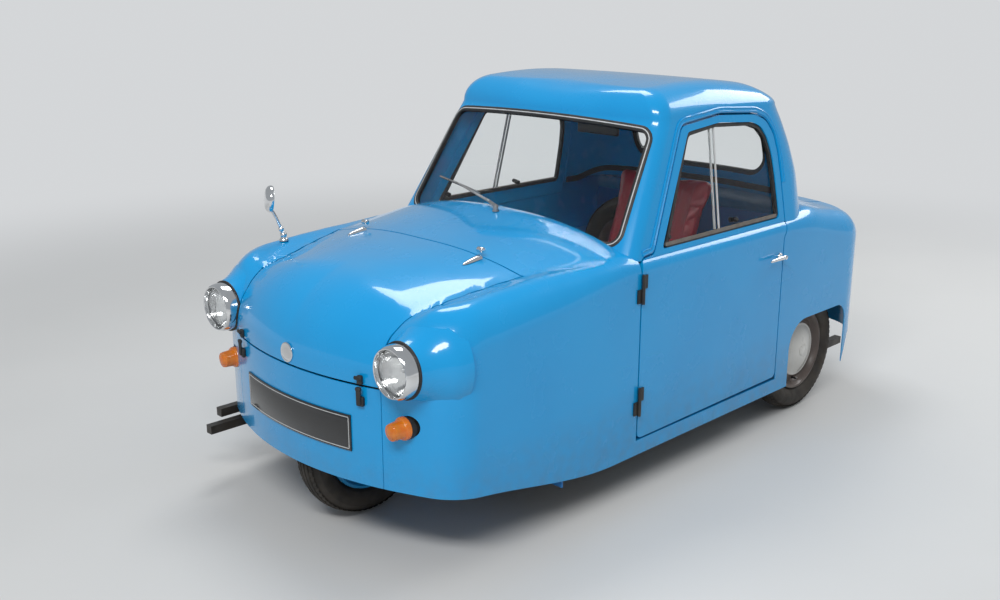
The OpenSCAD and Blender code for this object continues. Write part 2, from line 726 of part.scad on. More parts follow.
// Holes in the wings for the bowl, the rim and the indicator
module lamp_holes() {
    lamp_places(lamp_z) {
        cylinder(r = lamp_r - 12 + fit, h = far, $fn = 64);
        translate([0, 0, 40 - lamp_back_y - fit]) cylinder(r = lamp_r + fit, h = far, $fn = 64);
    }
    lamp_places(signal_z) cylinder(r = signal_r + fit, h = far, $fn = 48);
}
module headlamp_rims() {
    color(chrome) lamp_places(lamp_z) {
        translate([0, 0, -lamp_back_y]) cylinder(r = lamp_r - 12, h = 40, $fn = 64);
        translate([0, 0, 40 - lamp_back_y]) difference() {
            cylinder(r1 = lamp_r, r2 = lamp_r - 8, h = -lamp_face_y - 40 + lamp_back_y, $fn = 64);
            translate([0, 0, 12]) cylinder(r = lamp_r - 12, h = 60, $fn = 64);
        }
    }
}
module headlamp_lenses() {
    color("#e4e8ea") lamp_places(lamp_z) translate([0, 0, 52 - lamp_back_y + fit])
        rotate_extrude($fn = 64)
        intersection() {
            translate([0, -150]) circle(180, $fn = 96);
            square([lamp_r - 12 - fit, 60]);
        }
}
signal_z = 478;
signal_r = 37;
module indicator_lamps() {
    color("#e07414") lamp_places(signal_z) {
        translate([0, 0, 1196]) cylinder(r = signal_r, h = 60, $fn = 48);
        translate([0, 0, 1255]) cylinder(r1 = 32, r2 = 24, h = 36, $fn = 48);
    }
}
tail_lamp_x = 476;
tail_lamp_y = 1184;
tail_lamp_r = 34;
module tail_lamp_places() {
    both_sides() for (z = [560, 640]) translate([tail_lamp_x, 0, z]) rotate([-90, 0, 0]) children();
}
module tail_lamp_holes() {
    tail_lamp_places() cylinder(r = tail_lamp_r + fit, h = far, $fn = 48);
}
module tail_lamps() {
    color("#a01820") tail_lamp_places() translate([0, 0, tail_lamp_y]) {
        cylinder(r = tail_lamp_r, h = 50, $fn = 48);
        translate([0, 0, 50]) cylinder(r1 = tail_lamp_r - 4, r2 = tail_lamp_r - 12, h = 16, $fn = 48);
    }
}
plate_w = 539;
plate_h = 114;
plate_low_z = 364;
module number_plates() {
    color(black) {
        // Front plate follows the nose
        intersection() {
            translate([0, nose_r - nose_y, plate_low_z]) difference() {
                cylinder(r = nose_r + 6, h = plate_h, $fn = 360);
                translate([0, 0, -eps]) cylinder(r = nose_r + fit, h = plate_h + 2 * eps, $fn = 360);
            }
            block([-plate_w / 2, -far, 0], [plate_w / 2, -1000, far]);
        }
        // Rear plate stands on two spacers
        block([-260, tail_y + 8, 318], [260, tail_y + 12, 430]);
        for (s = [-1, 1]) translate([s * 90, tail_y - 2, 374]) rotate([-90, 0, 0]) cylinder(r = 12,
            h = 10.5, $fn = 32);
    }
}
wiper_pivot = [28, -446];
module wiper() {
    color(steel) {
        pivot_z = deck_z(wiper_pivot[0], wiper_pivot[1]);
        rod([wiper_pivot[0], wiper_pivot[1], pivot_z + 4 * fit], [wiper_pivot[0], wiper_pivot[1],
            pivot_z + 24], 9);
        rod([wiper_pivot[0], wiper_pivot[1], pivot_z + 18], [-250, -404, 972], 4);
        rod([-100, -416, 966], [-420, -372, 984], 4);
    }
}
wing_mirror_base = [-497, -975];
module mirrors() {
    color(chrome) {
        base_z = deck_z(-wing_mirror_base[0], wing_mirror_base[1]);
        base = [wing_mirror_base[0], wing_mirror_base[1], base_z];
        rod(base + [0, 0, fit], base + [0, 0, 14], 15);
        rod(base + [-1, -4, 17], base + [-12, -48, 128], 7);
        rod(base + [-12, -34, 150], base + [-4, -62, 158], 47);
        // Interior mirror hangs from the roof
        block([60, -64, 1178], [250, -44, 1236]);
        rod([155, -42, 1226], [155, -30, roof_deck_z(155, -30) - cab_t - 4 * fit], 7);
    }
}

// ---- Cabin ----

module dashboard() {
    color(body_blue) {
        block([-538, -392, 740], [538, -352, 828]);
        both_sides() block([440, bulkhead_y, 752], [460, -392, 772]);
    }
}
module tiller() {
    color(black) {
        rod([60, bulkhead_y + 6.5, 520], [60, -270, 720], 14);
        rod([-110, -270, 724], [230, -270, 724], 12);
    }
}
seat_x = 95;
seat_w = 430;
cushion_z = 330;
cushion_t = 120;
seat_front_y = -240;
seat_rear_y = 210;
module seat_frame() {
    color(black) {
        for (s = [-1, 1]) {
            block([seat_x + s * 185 - 15, seat_front_y + 20, floor_z + floor_t], [seat_x + s * 185 + 15,
                seat_front_y + 50,
                cushion_z - 20]);
            block([seat_x + s * 185 - 15, seat_rear_y - 10, floor_z + floor_t], [seat_x + s * 185 + 15,
                seat_rear_y + 20,
                cushion_z - 20]);
            translate([seat_x + s * 120, seat_rear_y, cushion_z + cushion_t]) rotate([-back_lean, 0, 0])
                block([-12, back_t + fit, -160], [12, back_t + 20, 420]);
        }
        block([seat_x - 200, seat_front_y + 10, cushion_z - 20], [seat_x + 200, seat_rear_y + 75,
            cushion_z - fit]);
    }
}
module seat_cushion() {
    color(burgundy) block([seat_x - seat_w / 2, seat_front_y, cushion_z],
        [seat_x + seat_w / 2, seat_rear_y - 30, cushion_z + cushion_t]);
}
back_lean = 20;
back_t = 90;
back_h = 562;
module seat_back() {
    color(burgundy) translate([seat_x, seat_rear_y, cushion_z + cushion_t]) rotate([-back_lean, 0, 0])
        block([-seat_w / 2, 0, -80], [seat_w / 2, back_t, back_h]);
}
spare_x = -170;
spare_z = 575;
module spare_wheel() {
    color(black) translate([spare_x, back_wall_y - skin - fit - tyre_w / 2, spare_z]) rotate([90, 0, 0]) {
        tyre_shape();
        cylinder(r = rim_r, h = 10, center = true, $fn = 96);
    }
}
engine_low_z = 270;
module engine_block() {
    color(steel) block([-180, 870, engine_low_z], [180, 1120, 570]);
}
tail_pipe_z = 245;
module exhaust() {
    color(steel) {
        rod([-150, 1205, 300], [190, 1205, 300], 42);
        rod([-90, 1120 + fit, 320], [-90, 1200, 320], 16);
        rod([-120, 1215, 270], [-120, 1314, tail_pipe_z], 14);
    }
}

// ---- Wheels, axle and fork ----

tyre_flat = 6;
module tyre_shape() {
    section_r = (tyre_r - rim_r + tyre_flat + 12) / 2;
    rotate_extrude($fn = 120) intersection() {
        translate([tyre_r + tyre_flat - section_r, 0]) scale([1, tyre_w / 2 / section_r])
            circle(section_r, $fn = 48);
        translate([rim_r, -tyre_w]) square([tyre_r - rim_r, 2 * tyre_w]);
    }
}
// Rim with its disc and a domed hub cap on the +Z side, on the axle Z
hub_r = 26;
cap_r = 110;
module rim_shape(cap) {
    difference() {
        union() {
            rotate_extrude($fn = 96) polygon([[rim_r - 12, -38], [rim_r - fit, -38], [rim_r - fit, 38],
                [rim_r - 12, 38],
                [rim_r - 12, 14], [70, 24], [70, 16], [rim_r - 12, 6]]);
            cylinder(r = 74, h = 8, $fn = 64);
            translate([0, 0, 6]) cylinder(r = 74, h = 18, $fn = 64);
            translate([0, 0, -30]) cylinder(r = hub_r, h = 40, $fn = 48);
            if (cap) translate([0, 0, 22]) intersection() {
                cylinder(r = cap_r, h = 40, $fn = 96);
                translate([0, 0, 36 - 180]) sphere(180, $fn = 96);
            }
        }
        translate([0, 0, -60]) cylinder(r = axle_r + fit, h = 75, $fn = 48);
    }
}
module rear_axle() {
    color(steel) {
        rod([-rear_track_half + 40, rear_axle_y, tyre_r], [rear_track_half - 40, rear_axle_y, tyre_r],
            24);
        rod([-rear_track_half - 12, rear_axle_y, tyre_r], [rear_track_half + 12, rear_axle_y, tyre_r],
            axle_r);
        both_sides() {
            block([rail_x - 12, arm_front_y, floor_z + 40], [rail_x + 12, rear_axle_y - 10, floor_z +
                70]);
            block([rail_x - 12, rear_axle_y - 40, floor_z + 40], [rail_x + 12, rear_axle_y, tyre_r + 10]);
        }
    }
}
module rear_wheel_place(side) {
    translate([side * rear_track_half, rear_axle_y, tyre_r]) rotate([0, side * 90, 0]) children();
}
module rear_tyre(side) {
    color(black) rear_wheel_place(side) tyre_shape();
}
module rear_rim(side) {
    color("#b4b8ba") rear_wheel_place(side) rim_shape(true);
}
crown_low_z = 2 * tyre_r + 18;
crown_high_z = crown_low_z + 26;
blade_x = tyre_w / 2 + 18;
module front_fork() {
    color(black) translate([0, front_axle_y, 0]) {
        block([-blade_x - 12, -24, crown_low_z], [blade_x + 12, 24, crown_high_z]);
        translate([0, 0, crown_high_z - 1]) cylinder(r = stem_r, h = head_high_z - crown_high_z + 8,
            $fn = 48);
        translate([0, 0, head_high_z + 2]) cylinder(r = stem_r + 8, h = 10, $fn = 48);
        for (s = [-1, 1]) block([s * blade_x - 6 + s * 6, -20, tyre_r - 24], [s * blade_x + 6 + s * 6,
            20, crown_low_z + 10]);
        translate([-blade_x - 12, 0, tyre_r]) rotate([0, 90, 0]) cylinder(r = axle_r, h = 2 * blade_x +
            24, $fn = 48);
    }
}
module front_wheel_place() {
    translate([0, front_axle_y, tyre_r]) rotate([0, 90, 0]) children();
}
module front_tyre() {
    color(black) front_wheel_place() tyre_shape();
}
module front_rim() {
    color(body_blue) front_wheel_place() difference() {
        union() {
            rotate_extrude($fn = 96) polygon([[rim_r - 12, -38], [rim_r - fit, -38], [rim_r - fit, 38],
                [rim_r - 12, 38],
                [rim_r - 12, 4], [hub_r - 4, 4], [hub_r - 4, -4], [rim_r - 12, -4]]);
            translate([0, 0, -40]) cylinder(r = hub_r, h = 80, $fn = 48);
        }
        translate([0, 0, -60]) cylinder(r = axle_r + fit, h = 120, $fn = 48);
    }
}

chassis_frame();
carrier_irons();
floor_pan();
bulkheads();
nose_panel();
front_wing(1);  // front_wing_left
front_wing(-1);  // front_wing_right
scuttle_panel();
bonnet();
bonnet_hinges();
bonnet_catches();
nose_latches();
cab_shell();
window_glass();
window_seals();
sills();
rear_quarter(1);  // rear_quarter_left
rear_quarter(-1);  // rear_quarter_right
tail_panel();
engine_lid();
lid_hinges();
door(1);  // door_left
door(-1);  // door_right
door_glass(1);  // door_glass_left
door_glass(-1);  // door_glass_right
door_handle(1);  // door_handle_left
door_handle(-1);  // door_handle_right
door_hinges();
hinge_leaves(1);  // hinge_leaves_left
hinge_leaves(-1);  // hinge_leaves_right
headlamp_rims();
headlamp_lenses();
indicator_lamps();
tail_lamps();
number_plates();
wiper();
mirrors();
dashboard();
tiller();
seat_frame();
seat_cushion();
seat_back();
spare_wheel();
engine_block();
exhaust();
rear_axle();
front_fork();
front_tyre();
front_rim();
rear_tyre(1);  // rear_tyre_left
rear_rim(1);  // rear_rim_left
rear_tyre(-1);  // rear_tyre_right
rear_rim(-1);  // rear_rim_right
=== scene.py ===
import math

import bmesh
import bpy
import numpy as np
from mathutils import Matrix, Vector
from mathutils.bvhtree import BVHTree


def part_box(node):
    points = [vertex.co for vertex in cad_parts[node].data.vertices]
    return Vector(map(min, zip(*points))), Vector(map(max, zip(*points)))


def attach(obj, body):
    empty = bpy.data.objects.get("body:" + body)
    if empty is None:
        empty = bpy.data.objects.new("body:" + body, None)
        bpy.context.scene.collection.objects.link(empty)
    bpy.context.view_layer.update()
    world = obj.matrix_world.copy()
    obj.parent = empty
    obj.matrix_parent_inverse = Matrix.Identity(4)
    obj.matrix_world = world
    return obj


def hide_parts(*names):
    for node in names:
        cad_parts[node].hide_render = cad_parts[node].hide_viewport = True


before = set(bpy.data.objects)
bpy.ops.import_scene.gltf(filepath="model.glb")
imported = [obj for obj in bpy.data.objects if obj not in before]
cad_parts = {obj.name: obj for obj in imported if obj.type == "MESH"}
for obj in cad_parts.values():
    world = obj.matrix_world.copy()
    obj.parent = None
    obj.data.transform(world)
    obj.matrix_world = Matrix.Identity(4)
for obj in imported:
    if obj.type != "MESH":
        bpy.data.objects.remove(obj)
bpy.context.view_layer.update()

# Looks of a small three wheeled car. Metres, +X the car's left, the nose faces -Y, +Z up.
# The outer surfaces repeat the CAD source's formulas at a finer pitch.

FAR = 2.0
HALF_W = 0.594
NOSE_Y, NOSE_R, NOSE_CORNER_R = 1.317, 1.144, 0.150
TAIL_Y, TAIL_R, TAIL_CORNER_R = 1.311, 1.300, 0.200
SKIN = 0.004
DOOR_T = 0.035
SILL_Z, NOSE_BOTTOM_Z, TAIL_BOTTOM_Z = 0.154, 0.264, 0.268
CAB_T = 0.025
ROOF_Z = 1.371
SCREEN_RAKE = math.radians(58)
SEAL_W = 0.018
DOOR_FRONT_Y, DOOR_REAR_Y, DOOR_BOTTOM_Z = -0.331, 0.523, 0.214
GAP = 0.007
BONNET_HALF_W, BONNET_SEAM_Z = 0.370, 0.575
BULKHEAD_Y, REAR_WALL_Y = -0.700, 0.534
LID_FRONT_Y, LID_HALF_W, LID_BOTTOM_Z = 0.940, 0.380, 0.470
WAIST_Z = 0.838
BODY_FLOOR_Z = 0.090
QUARTER_SPLIT_X = 0.430
ARCH_FRONT_Y, ARCH_REAR_Y, ARCH_TOP_Z = 0.618, 1.048, 0.415
ARCH_FRONT_R, ARCH_REAR_R = 0.115, 0.070
SIDES = (1, -1)
SIDE_NAME = {1: "left", -1: "right"}


# ---- Surfaces ----


def eased(table, reach):
    """A function through a table of (place, value) whose kinks are rounded over reach."""
    places, values = np.array(table, float).T
    step = reach / 16
    xs = np.arange(places[0] - reach, places[-1] + reach, step)
    kernel = np.hanning(17)
    ys = np.convolve(np.interp(xs, places, values), kernel / kernel.sum(), "same")
    inner = (xs >= places[0] - reach / 4) & (xs <= places[-1] + reach / 4)
    return lambda k: float(np.interp(k, xs[inner], ys[inner]))


shoulder_w = eased([(0, 0.25), (0.7, 0.18), (1, 0.11), (2, 0.1), (2.17, 0.095), (2.3, 0.05), (2.35, 0.036),
                    (2.76, 0.036), (2.84, 0.06), (3, 0.1), (4, 0.11), (5, 0.15)], 0.1)
wall_top = eased([(0, 0.6), (0.7, 0.62), (1, 0.665), (2, 0.695), (2.17, 0.735), (2.3, 0.782), (2.35, 0.788),
                  (2.76, 0.788), (2.84, 0.77), (3, 0.69), (4, 0.675), (5, 0.655)], 0.1)
deck_mid_z = eased([(-1.317, 0.833), (-1.1, 0.853), (-1, 0.866), (-0.9, 0.876), (-0.756, 0.889), (-0.55, 0.917),
                    (-0.39, 0.943), (-0.2, 0.88), (0.5, 0.87), (0.76, 0.885), (0.9, 0.85), (1.05, 0.822),
                    (1.311, 0.79)], 0.12)
crease_x = eased([(-1.317, 0.37), (-1.178, 0.376), (-1.11, 0.392), (-1.005, 0.406), (-0.9, 0.431),
                  (-0.756, 0.461), (-0.39, 0.572), (0.5, 0.56), (0.9, 0.5)], 0.06)
crease_z = eased([(-1.317, 0.768), (-1.178, 0.772), (-1.11, 0.782), (-1.005, 0.8), (-0.9, 0.819), (-0.756, 0.84),
                  (-0.39, 0.85), (-0.33, 0.838), (0.54, 0.838), (0.76, 0.858), (0.9, 0.826), (1.05, 0.8),
                  (1.311, 0.772)], 0.12)
crest_z = eased([(-1.317, 0.796), (-1.11, 0.818), (-1, 0.828), (-0.9, 0.837), (-0.756, 0.848), (-0.39, 0.856),
                 (-0.33, 0.838), (0.54, 0.838), (0.76, 0.85), (0.9, 0.822), (1.05, 0.798), (1.311, 0.77)], 0.12)
CREST_RISE = 0.085
CROWN_POWER = 2.4
CREASE_SOFT = 0.008

COLUMNS = np.concatenate([np.linspace(0, 1, 44, False), np.linspace(1, 2, 36, False),
                          np.linspace(2, 3, 90, False), np.linspace(3, 4, 36, False), np.linspace(4, 5, 45)])


def corner_y(w, end, big, small):
    return end - big + math.sqrt((big - small) ** 2 - (w - small) ** 2)


def end_point(w, end, big, small, u):
    turn = math.asin((w - small) / (big - small))
    if u < 1:
        return big * math.sin(u * turn), end - big + big * math.cos(u * turn)
    a = turn + (u - 1) * (math.pi / 2 - turn)
    return w - small + small * math.sin(a), corner_y(w, end, big, small) + small * math.cos(a)


def plan_point(plan, u):
    """Half outline: u is 0 at the nose, 1-2 the front corner, 2-3 the side, 3-4 the rear corner, 5 the tail."""
    w, nose, nose_r, front_r, tail, tail_r, rear_r = plan
    if u <= 2:
        x, y = end_point(w, nose, nose_r, front_r, u)
        return x, -y
    if u >= 3:
        return end_point(w, tail, tail_r, rear_r, 5 - u)
    a, b = -corner_y(w, nose, nose_r, front_r), corner_y(w, tail, tail_r, rear_r)
    return w, a + (u - 2) * (b - a)


def deck_level(x, y):
    xc, zc, zm = crease_x(y), crease_z(y), deck_mid_z(y)
    if x < xc:
        return zm - (zm - zc) * (x / xc) ** CROWN_POWER
    return zc + (crest_z(y) - zc) * min(1, (x - xc) / CREST_RISE)


def deck_z(x, y):
    x = abs(x)
    return (deck_level(abs(x - CREASE_SOFT), y) + 2 * deck_level(x, y) + deck_level(x + CREASE_SOFT, y)) / 4


def inward(point, spine, distance):
    reach = math.dist(point, spine)
    k = min(distance / reach, 1)
    return point[0] + (spine[0] - point[0]) * k, point[1] + (spine[1] - point[1]) * k


def rolled_rows(plan, spine_ends, edge_of, width_of, level_of, roll_steps, deck_steps):
    """Rows that roll over from the walls' top edge and run in to the middle line."""
    rolls = [[] for _ in range(roll_steps)]
    decks = [[] for _ in range(deck_steps)]
    for u in COLUMNS:
        o = plan_point(plan, u)
        spine = (0, min(max(o[1], spine_ends[0]), spine_ends[1]))
        width, edge = width_of(u), edge_of(u)
        for i in range(roll_steps):
            a = math.pi / 2 * i / roll_steps
            q = inward(o, spine, width * (1 - math.cos(a)))
            rolls[i].append((q[0], q[1], edge + math.sin(a) * (level_of(*q) - edge)))
        q = inward(o, spine, width)
        for i in range(deck_steps):
            k = 0.985 * i / (deck_steps - 1)
            p = (q[0] + (spine[0] - q[0]) * k, q[1] + (spine[1] - q[1]) * k)
            decks[i].append((p[0], p[1], level_of(*p)))
    return rolls + decks


def flat_row(plan, z):
    return [(*plan_point(plan, u), z) for u in COLUMNS]


def body_rows(t):
    plan = (HALF_W - t, NOSE_Y - t, NOSE_R - t, NOSE_CORNER_R - t, TAIL_Y - t, TAIL_R - t, TAIL_CORNER_R - t)
    upper = rolled_rows(plan, (-0.7, 0.7), wall_top, shoulder_w, lambda x, y: deck_z(x, y) - t, 14, 22)
    return [flat_row(plan, BODY_FLOOR_Z - t)] + upper


ROOF_EDGE_Z = 1.258
CAB_FOOT_Z = 0.780
SCREEN_FOOT = (-0.425, 0.853)
ROOF_PEAK_Y = 0.142
cab_rear_y = eased([(0.78, 0.85), (0.86, 0.845), (1, 0.835), (1.11, 0.8), (1.2, 0.757), (1.258, 0.722)], 0.06)
roof_roll_w = eased([(0, 0.13), (1, 0.125), (2, 0.125), (3, 0.137), (4, 0.246), (5, 0.27)], 0.3)


def cab_plan(z, t=0):
    nose = -(SCREEN_FOOT[0] + (z - SCREEN_FOOT[1]) / math.tan(SCREEN_RAKE))
    return (HALF_W - 0.021 - 0.19 * (z - 0.853) - t, nose - t, 3 - t, 0.062 - t, cab_rear_y(z) - t, 1.5 - t,
            0.18 - t)


def roof_level(x, y):
    return ROOF_Z - 0.02 * x * x - 0.22 * (y - ROOF_PEAK_Y) ** 2


def cab_rows(t):
    walls = [flat_row(cab_plan(z, t), z) for z in np.linspace(CAB_FOOT_Z, ROOF_EDGE_Z, 20, False)]
    return walls + rolled_rows(cab_plan(ROOF_EDGE_Z, t), (0.09, 0.33), lambda u: ROOF_EDGE_Z, roof_roll_w,
                               lambda x, y: roof_level(x, y) - t, 16, 16)


# ---- Meshes ----


def new_object(name, verts, faces):
    mesh = bpy.data.meshes.new(name)
    mesh.from_pydata([tuple(v) for v in verts], [], [tuple(f) for f in faces])
    obj = bpy.data.objects.new(name, mesh)
    bpy.context.scene.collection.objects.link(obj)
    bm = bmesh.new()
    bm.from_mesh(mesh)
    bmesh.ops.recalc_face_normals(bm, faces=bm.faces)
    bm.to_mesh(mesh)
    bm.free()
    return obj


def mirrored_solid(name, rows):
    """A closed solid from half rings, mirrored to both sides and closed at the floor and along the spine."""
    half = np.array(rows)
    half[:, 0, 0] = half[:, -1, 0] = 0
    rings = np.concatenate([half, half[:, -2:0:-1] * (-1, 1, 1)], axis=1)
    count, m = rings.shape[:2]
    faces = [(r * m + c, r * m + (c + 1) % m, (r + 1) * m + (c + 1) % m, (r + 1) * m + c)
             for r in range(count - 1) for c in range(m)]
    faces.append(range(m))
    last, n = (count - 1) * m, half.shape[1]
    faces += [(last + c, last + c + 1, last + m - c - 1, last + m - c) for c in range(1, n - 2)]
    faces += [(last, last + 1, last + m - 1), (last + n - 2, last + n - 1, last + n)]
    return new_object(name, rings.reshape(-1, 3), faces)


def prism(points, axis, low, high):
    """An outline drawn through from low to high along an axis; its points are in the other two axes, in order."""
    others = [a for a in range(3) if a != axis]
    verts = np.zeros((2 * len(points), 3))
    n = len(points)
    for k, level in enumerate((low, high)):
        verts[k * n:(k + 1) * n, axis] = level
        verts[k * n:(k + 1) * n, others] = points
    faces = [range(n), range(2 * n - 1, n - 1, -1)] + [(i, (i + 1) % n, n + (i + 1) % n, n + i) for i in range(n)]
    return new_object("cutter", verts, faces)


def block(low, high):
    return prism([(low[0], low[1]), (high[0], low[1]), (high[0], high[1]), (low[0], high[1])], 2, low[2], high[2])


def copy_of(obj):
    twin = bpy.data.objects.new(obj.name, obj.data.copy())
    bpy.context.scene.collection.objects.link(twin)
    return twin


def baked(obj):
    """The object with its modifiers applied."""
    graph = bpy.context.evaluated_depsgraph_get()
    mesh = bpy.data.meshes.new_from_object(obj.evaluated_get(graph))
    obj.modifiers.clear()
    obj.data = mesh
    return obj


def combined(obj, operation, *others, keep=False):
    """obj with solids cut away, kept or added. The others are removed after, unless keep is set."""
    for other in others:
        modifier = obj.modifiers.new("cut", "BOOLEAN")
        modifier.operation = operation
        modifier.solver = "MANIFOLD"
        modifier.object = other
        baked(obj)
        if not keep:
            bpy.data.objects.remove(other)
    return obj


def cut(obj, *others, keep=False):
    return combined(obj, "DIFFERENCE", *others, keep=keep)


def within(obj, *others, keep=False):
    return combined(obj, "INTERSECT", *others, keep=keep)


def grown(points, distance):
    """A closed outline moved outward by distance (its points run either way round)."""
    p = np.array(points, float)
    before, after = p - np.roll(p, 1, 0), np.roll(p, -1, 0) - p
    turn = np.sign(np.sum(p[:, 0] * np.roll(p[:, 1], -1) - np.roll(p[:, 0], -1) * p[:, 1]))
    normals = [np.stack([e[:, 1], -e[:, 0]], 1) / np.linalg.norm(e, axis=1)[:, None] * turn for e in (before, after)]
    middle = normals[0] + normals[1]
    return p + distance * middle / (1 + np.sum(normals[0] * normals[1], 1))[:, None]


def filleted(points, reach, steps=5):
    """A closed outline with each corner rounded, starting reach away from it or at half the edge."""
    p = np.array(points, float)
    out = []
    for before, here, after in zip(np.roll(p, 1, 0), p, np.roll(p, -1, 0)):
        a, b = before - here, after - here
        start = here + a * min(reach / np.linalg.norm(a), 0.48)
        end = here + b * min(reach / np.linalg.norm(b), 0.48)
        for t in np.linspace(0, 1, steps):
            out.append((1 - t) ** 2 * start + 2 * t * (1 - t) * here + t * t * end)
    return np.array(out)


def smooth_faces(obj, angle=32):
    obj.data.shade_smooth()
    obj.data.set_sharp_from_angle(angle=math.radians(angle))
    return obj


def placed(obj, name, body, material, nodes=(), angle=32):
    """Names a piece, paints it, lets it ride on its body and stand for its CAD nodes."""
    obj.name = name
    smooth_faces(obj, angle)
    obj.data.materials.clear()
    obj.data.materials.append(material)
    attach(obj, body)
    if nodes:
        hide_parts(*nodes)
    return obj


def flipped(obj):
    """Mirrors a mesh to the car's other side."""
    obj.data.transform(Matrix.Scale(-1, 4, (1, 0, 0)))
    obj.data.flip_normals()
    return obj


# Each shape below is (points, faces), and made() joins several into one piece.


def toward(axis):
    return Vector((0, 0, 1)).rotation_difference(Vector(axis)).to_matrix()


def revolved(profile, centre, axis, segments=64, closed=False, radius_at=None):
    """Turns a profile of (radius, height) about axis. radius_at(i, k, r) may change the radius at profile
    point i and segment k."""
    turn = toward(axis)
    verts, faces, rings = [], [], []
    for i, (r, h) in enumerate(profile):
        ring = []
        for k in range(1 if r < 1e-6 else segments):
            a = 2 * math.pi * k / segments
            rr = radius_at(i, k, r) if radius_at else r
            ring.append(len(verts))
            verts.append(Vector(centre) + turn @ Vector((rr * math.cos(a), rr * math.sin(a), h)))
        rings.append(ring)
    pairs = list(zip(rings, rings[1:])) + ([(rings[-1], rings[0])] if closed else [])
    for a, b in pairs:
        for k in range(segments):
            n = (k + 1) % segments
            if len(a) == 1 and len(b) > 1:
                faces.append((a[0], b[n], b[k]))
            elif len(b) == 1 and len(a) > 1:
                faces.append((a[k], a[n], b[0]))
            elif len(a) > 1:
                faces.append((a[k], a[n], b[n], b[k]))
    if not closed:
        faces += [tuple(ring) for ring in (rings[0], rings[-1]) if len(ring) > 1]
    return verts, faces


def swept(path, profile, normals, closed=False, scale=None):
    """Runs a profile of (sideways, outward) points along a path, whose outward directions are normals."""
    p = [Vector(v) for v in path]
    verts, faces, m, n = [], [], len(profile), len(path)
    for i, point in enumerate(p):
        ahead = p[(i + 1) % n] if closed or i + 1 < n else point
        behind = p[i - 1] if closed or i > 0 else point
        along = (ahead - behind).normalized()
        out = (Vector(normals[i]) - along * along.dot(Vector(normals[i]))).normalized()
        side = along.cross(out)
        k = scale(i / (n - 1)) if scale else 1
        verts += [point + side * (a * k) + out * (b * k) for a, b in profile]
    for i in range(n if closed else n - 1):
        a, b = i * m, (i + 1) % n * m
        faces += [(a + j, a + (j + 1) % m, b + (j + 1) % m, b + j) for j in range(m)]
    if not closed:
        faces += [tuple(range(m)), tuple(range((n - 1) * m, n * m))]
    return verts, faces


def circle_profile(r, steps=12, squash=1.0):
    return [(r * math.cos(a), squash * r * math.sin(a)) for a in np.linspace(0, 2 * math.pi, steps, False)]


def tube(points, r, steps=14, scale=None):
    """A round bar along points."""
    path = [Vector(p) for p in points]
    up = Vector((0.13, 0.21, 0.97))
    return swept(path, circle_profile(r, steps), [up] * len(path), scale=scale)


def ball(centre, r, squash=1.0, axis=(0, 0, 1)):
    profile = [(r * math.sin(a), -squash * r * math.cos(a)) for a in np.linspace(0, math.pi, 13)]
    profile[0], profile[-1] = (0, -squash * r), (0, squash * r)
    return revolved(profile, centre, axis, 28)


def rounded_box(low, high, r, steps=3, turn=None):
    """A box with rounded edges. turn is a matrix that places it."""
    bm = bmesh.new()
    bmesh.ops.create_cube(bm, size=1)
    low, high = Vector(low), Vector(high)
    for v in bm.verts:
        v.co = Vector([(low[i] + high[i]) / 2 + v.co[i] * (high[i] - low[i]) for i in range(3)])
    bmesh.ops.bevel(bm, geom=bm.edges[:], offset=r, segments=steps, profile=0.5, affect="EDGES")
    if turn is not None:
        bmesh.ops.transform(bm, matrix=turn, verts=bm.verts)
    bm.verts.index_update()
    shape = [v.co.copy() for v in bm.verts], [tuple(v.index for v in f.verts) for f in bm.faces]
    bm.free()
    return shape


def made(name, shapes, body, material, nodes=(), angle=40, mirror=False):
    """One piece from several shapes; mirror adds the same shapes on the other side."""
    verts, faces = [], []
    for points, polygons in shapes:
        first = len(verts)
        verts += points
        faces += [tuple(first + i for i in f) for f in polygons]
    if mirror:
        first = len(verts)
        verts = verts + [Vector((-v[0], v[1], v[2])) for v in verts]
        faces = faces + [tuple(first + i for i in reversed(f)) for f in faces]
    return placed(new_object(name, verts, faces), name, body, material, nodes, angle)


# ---- Materials ----


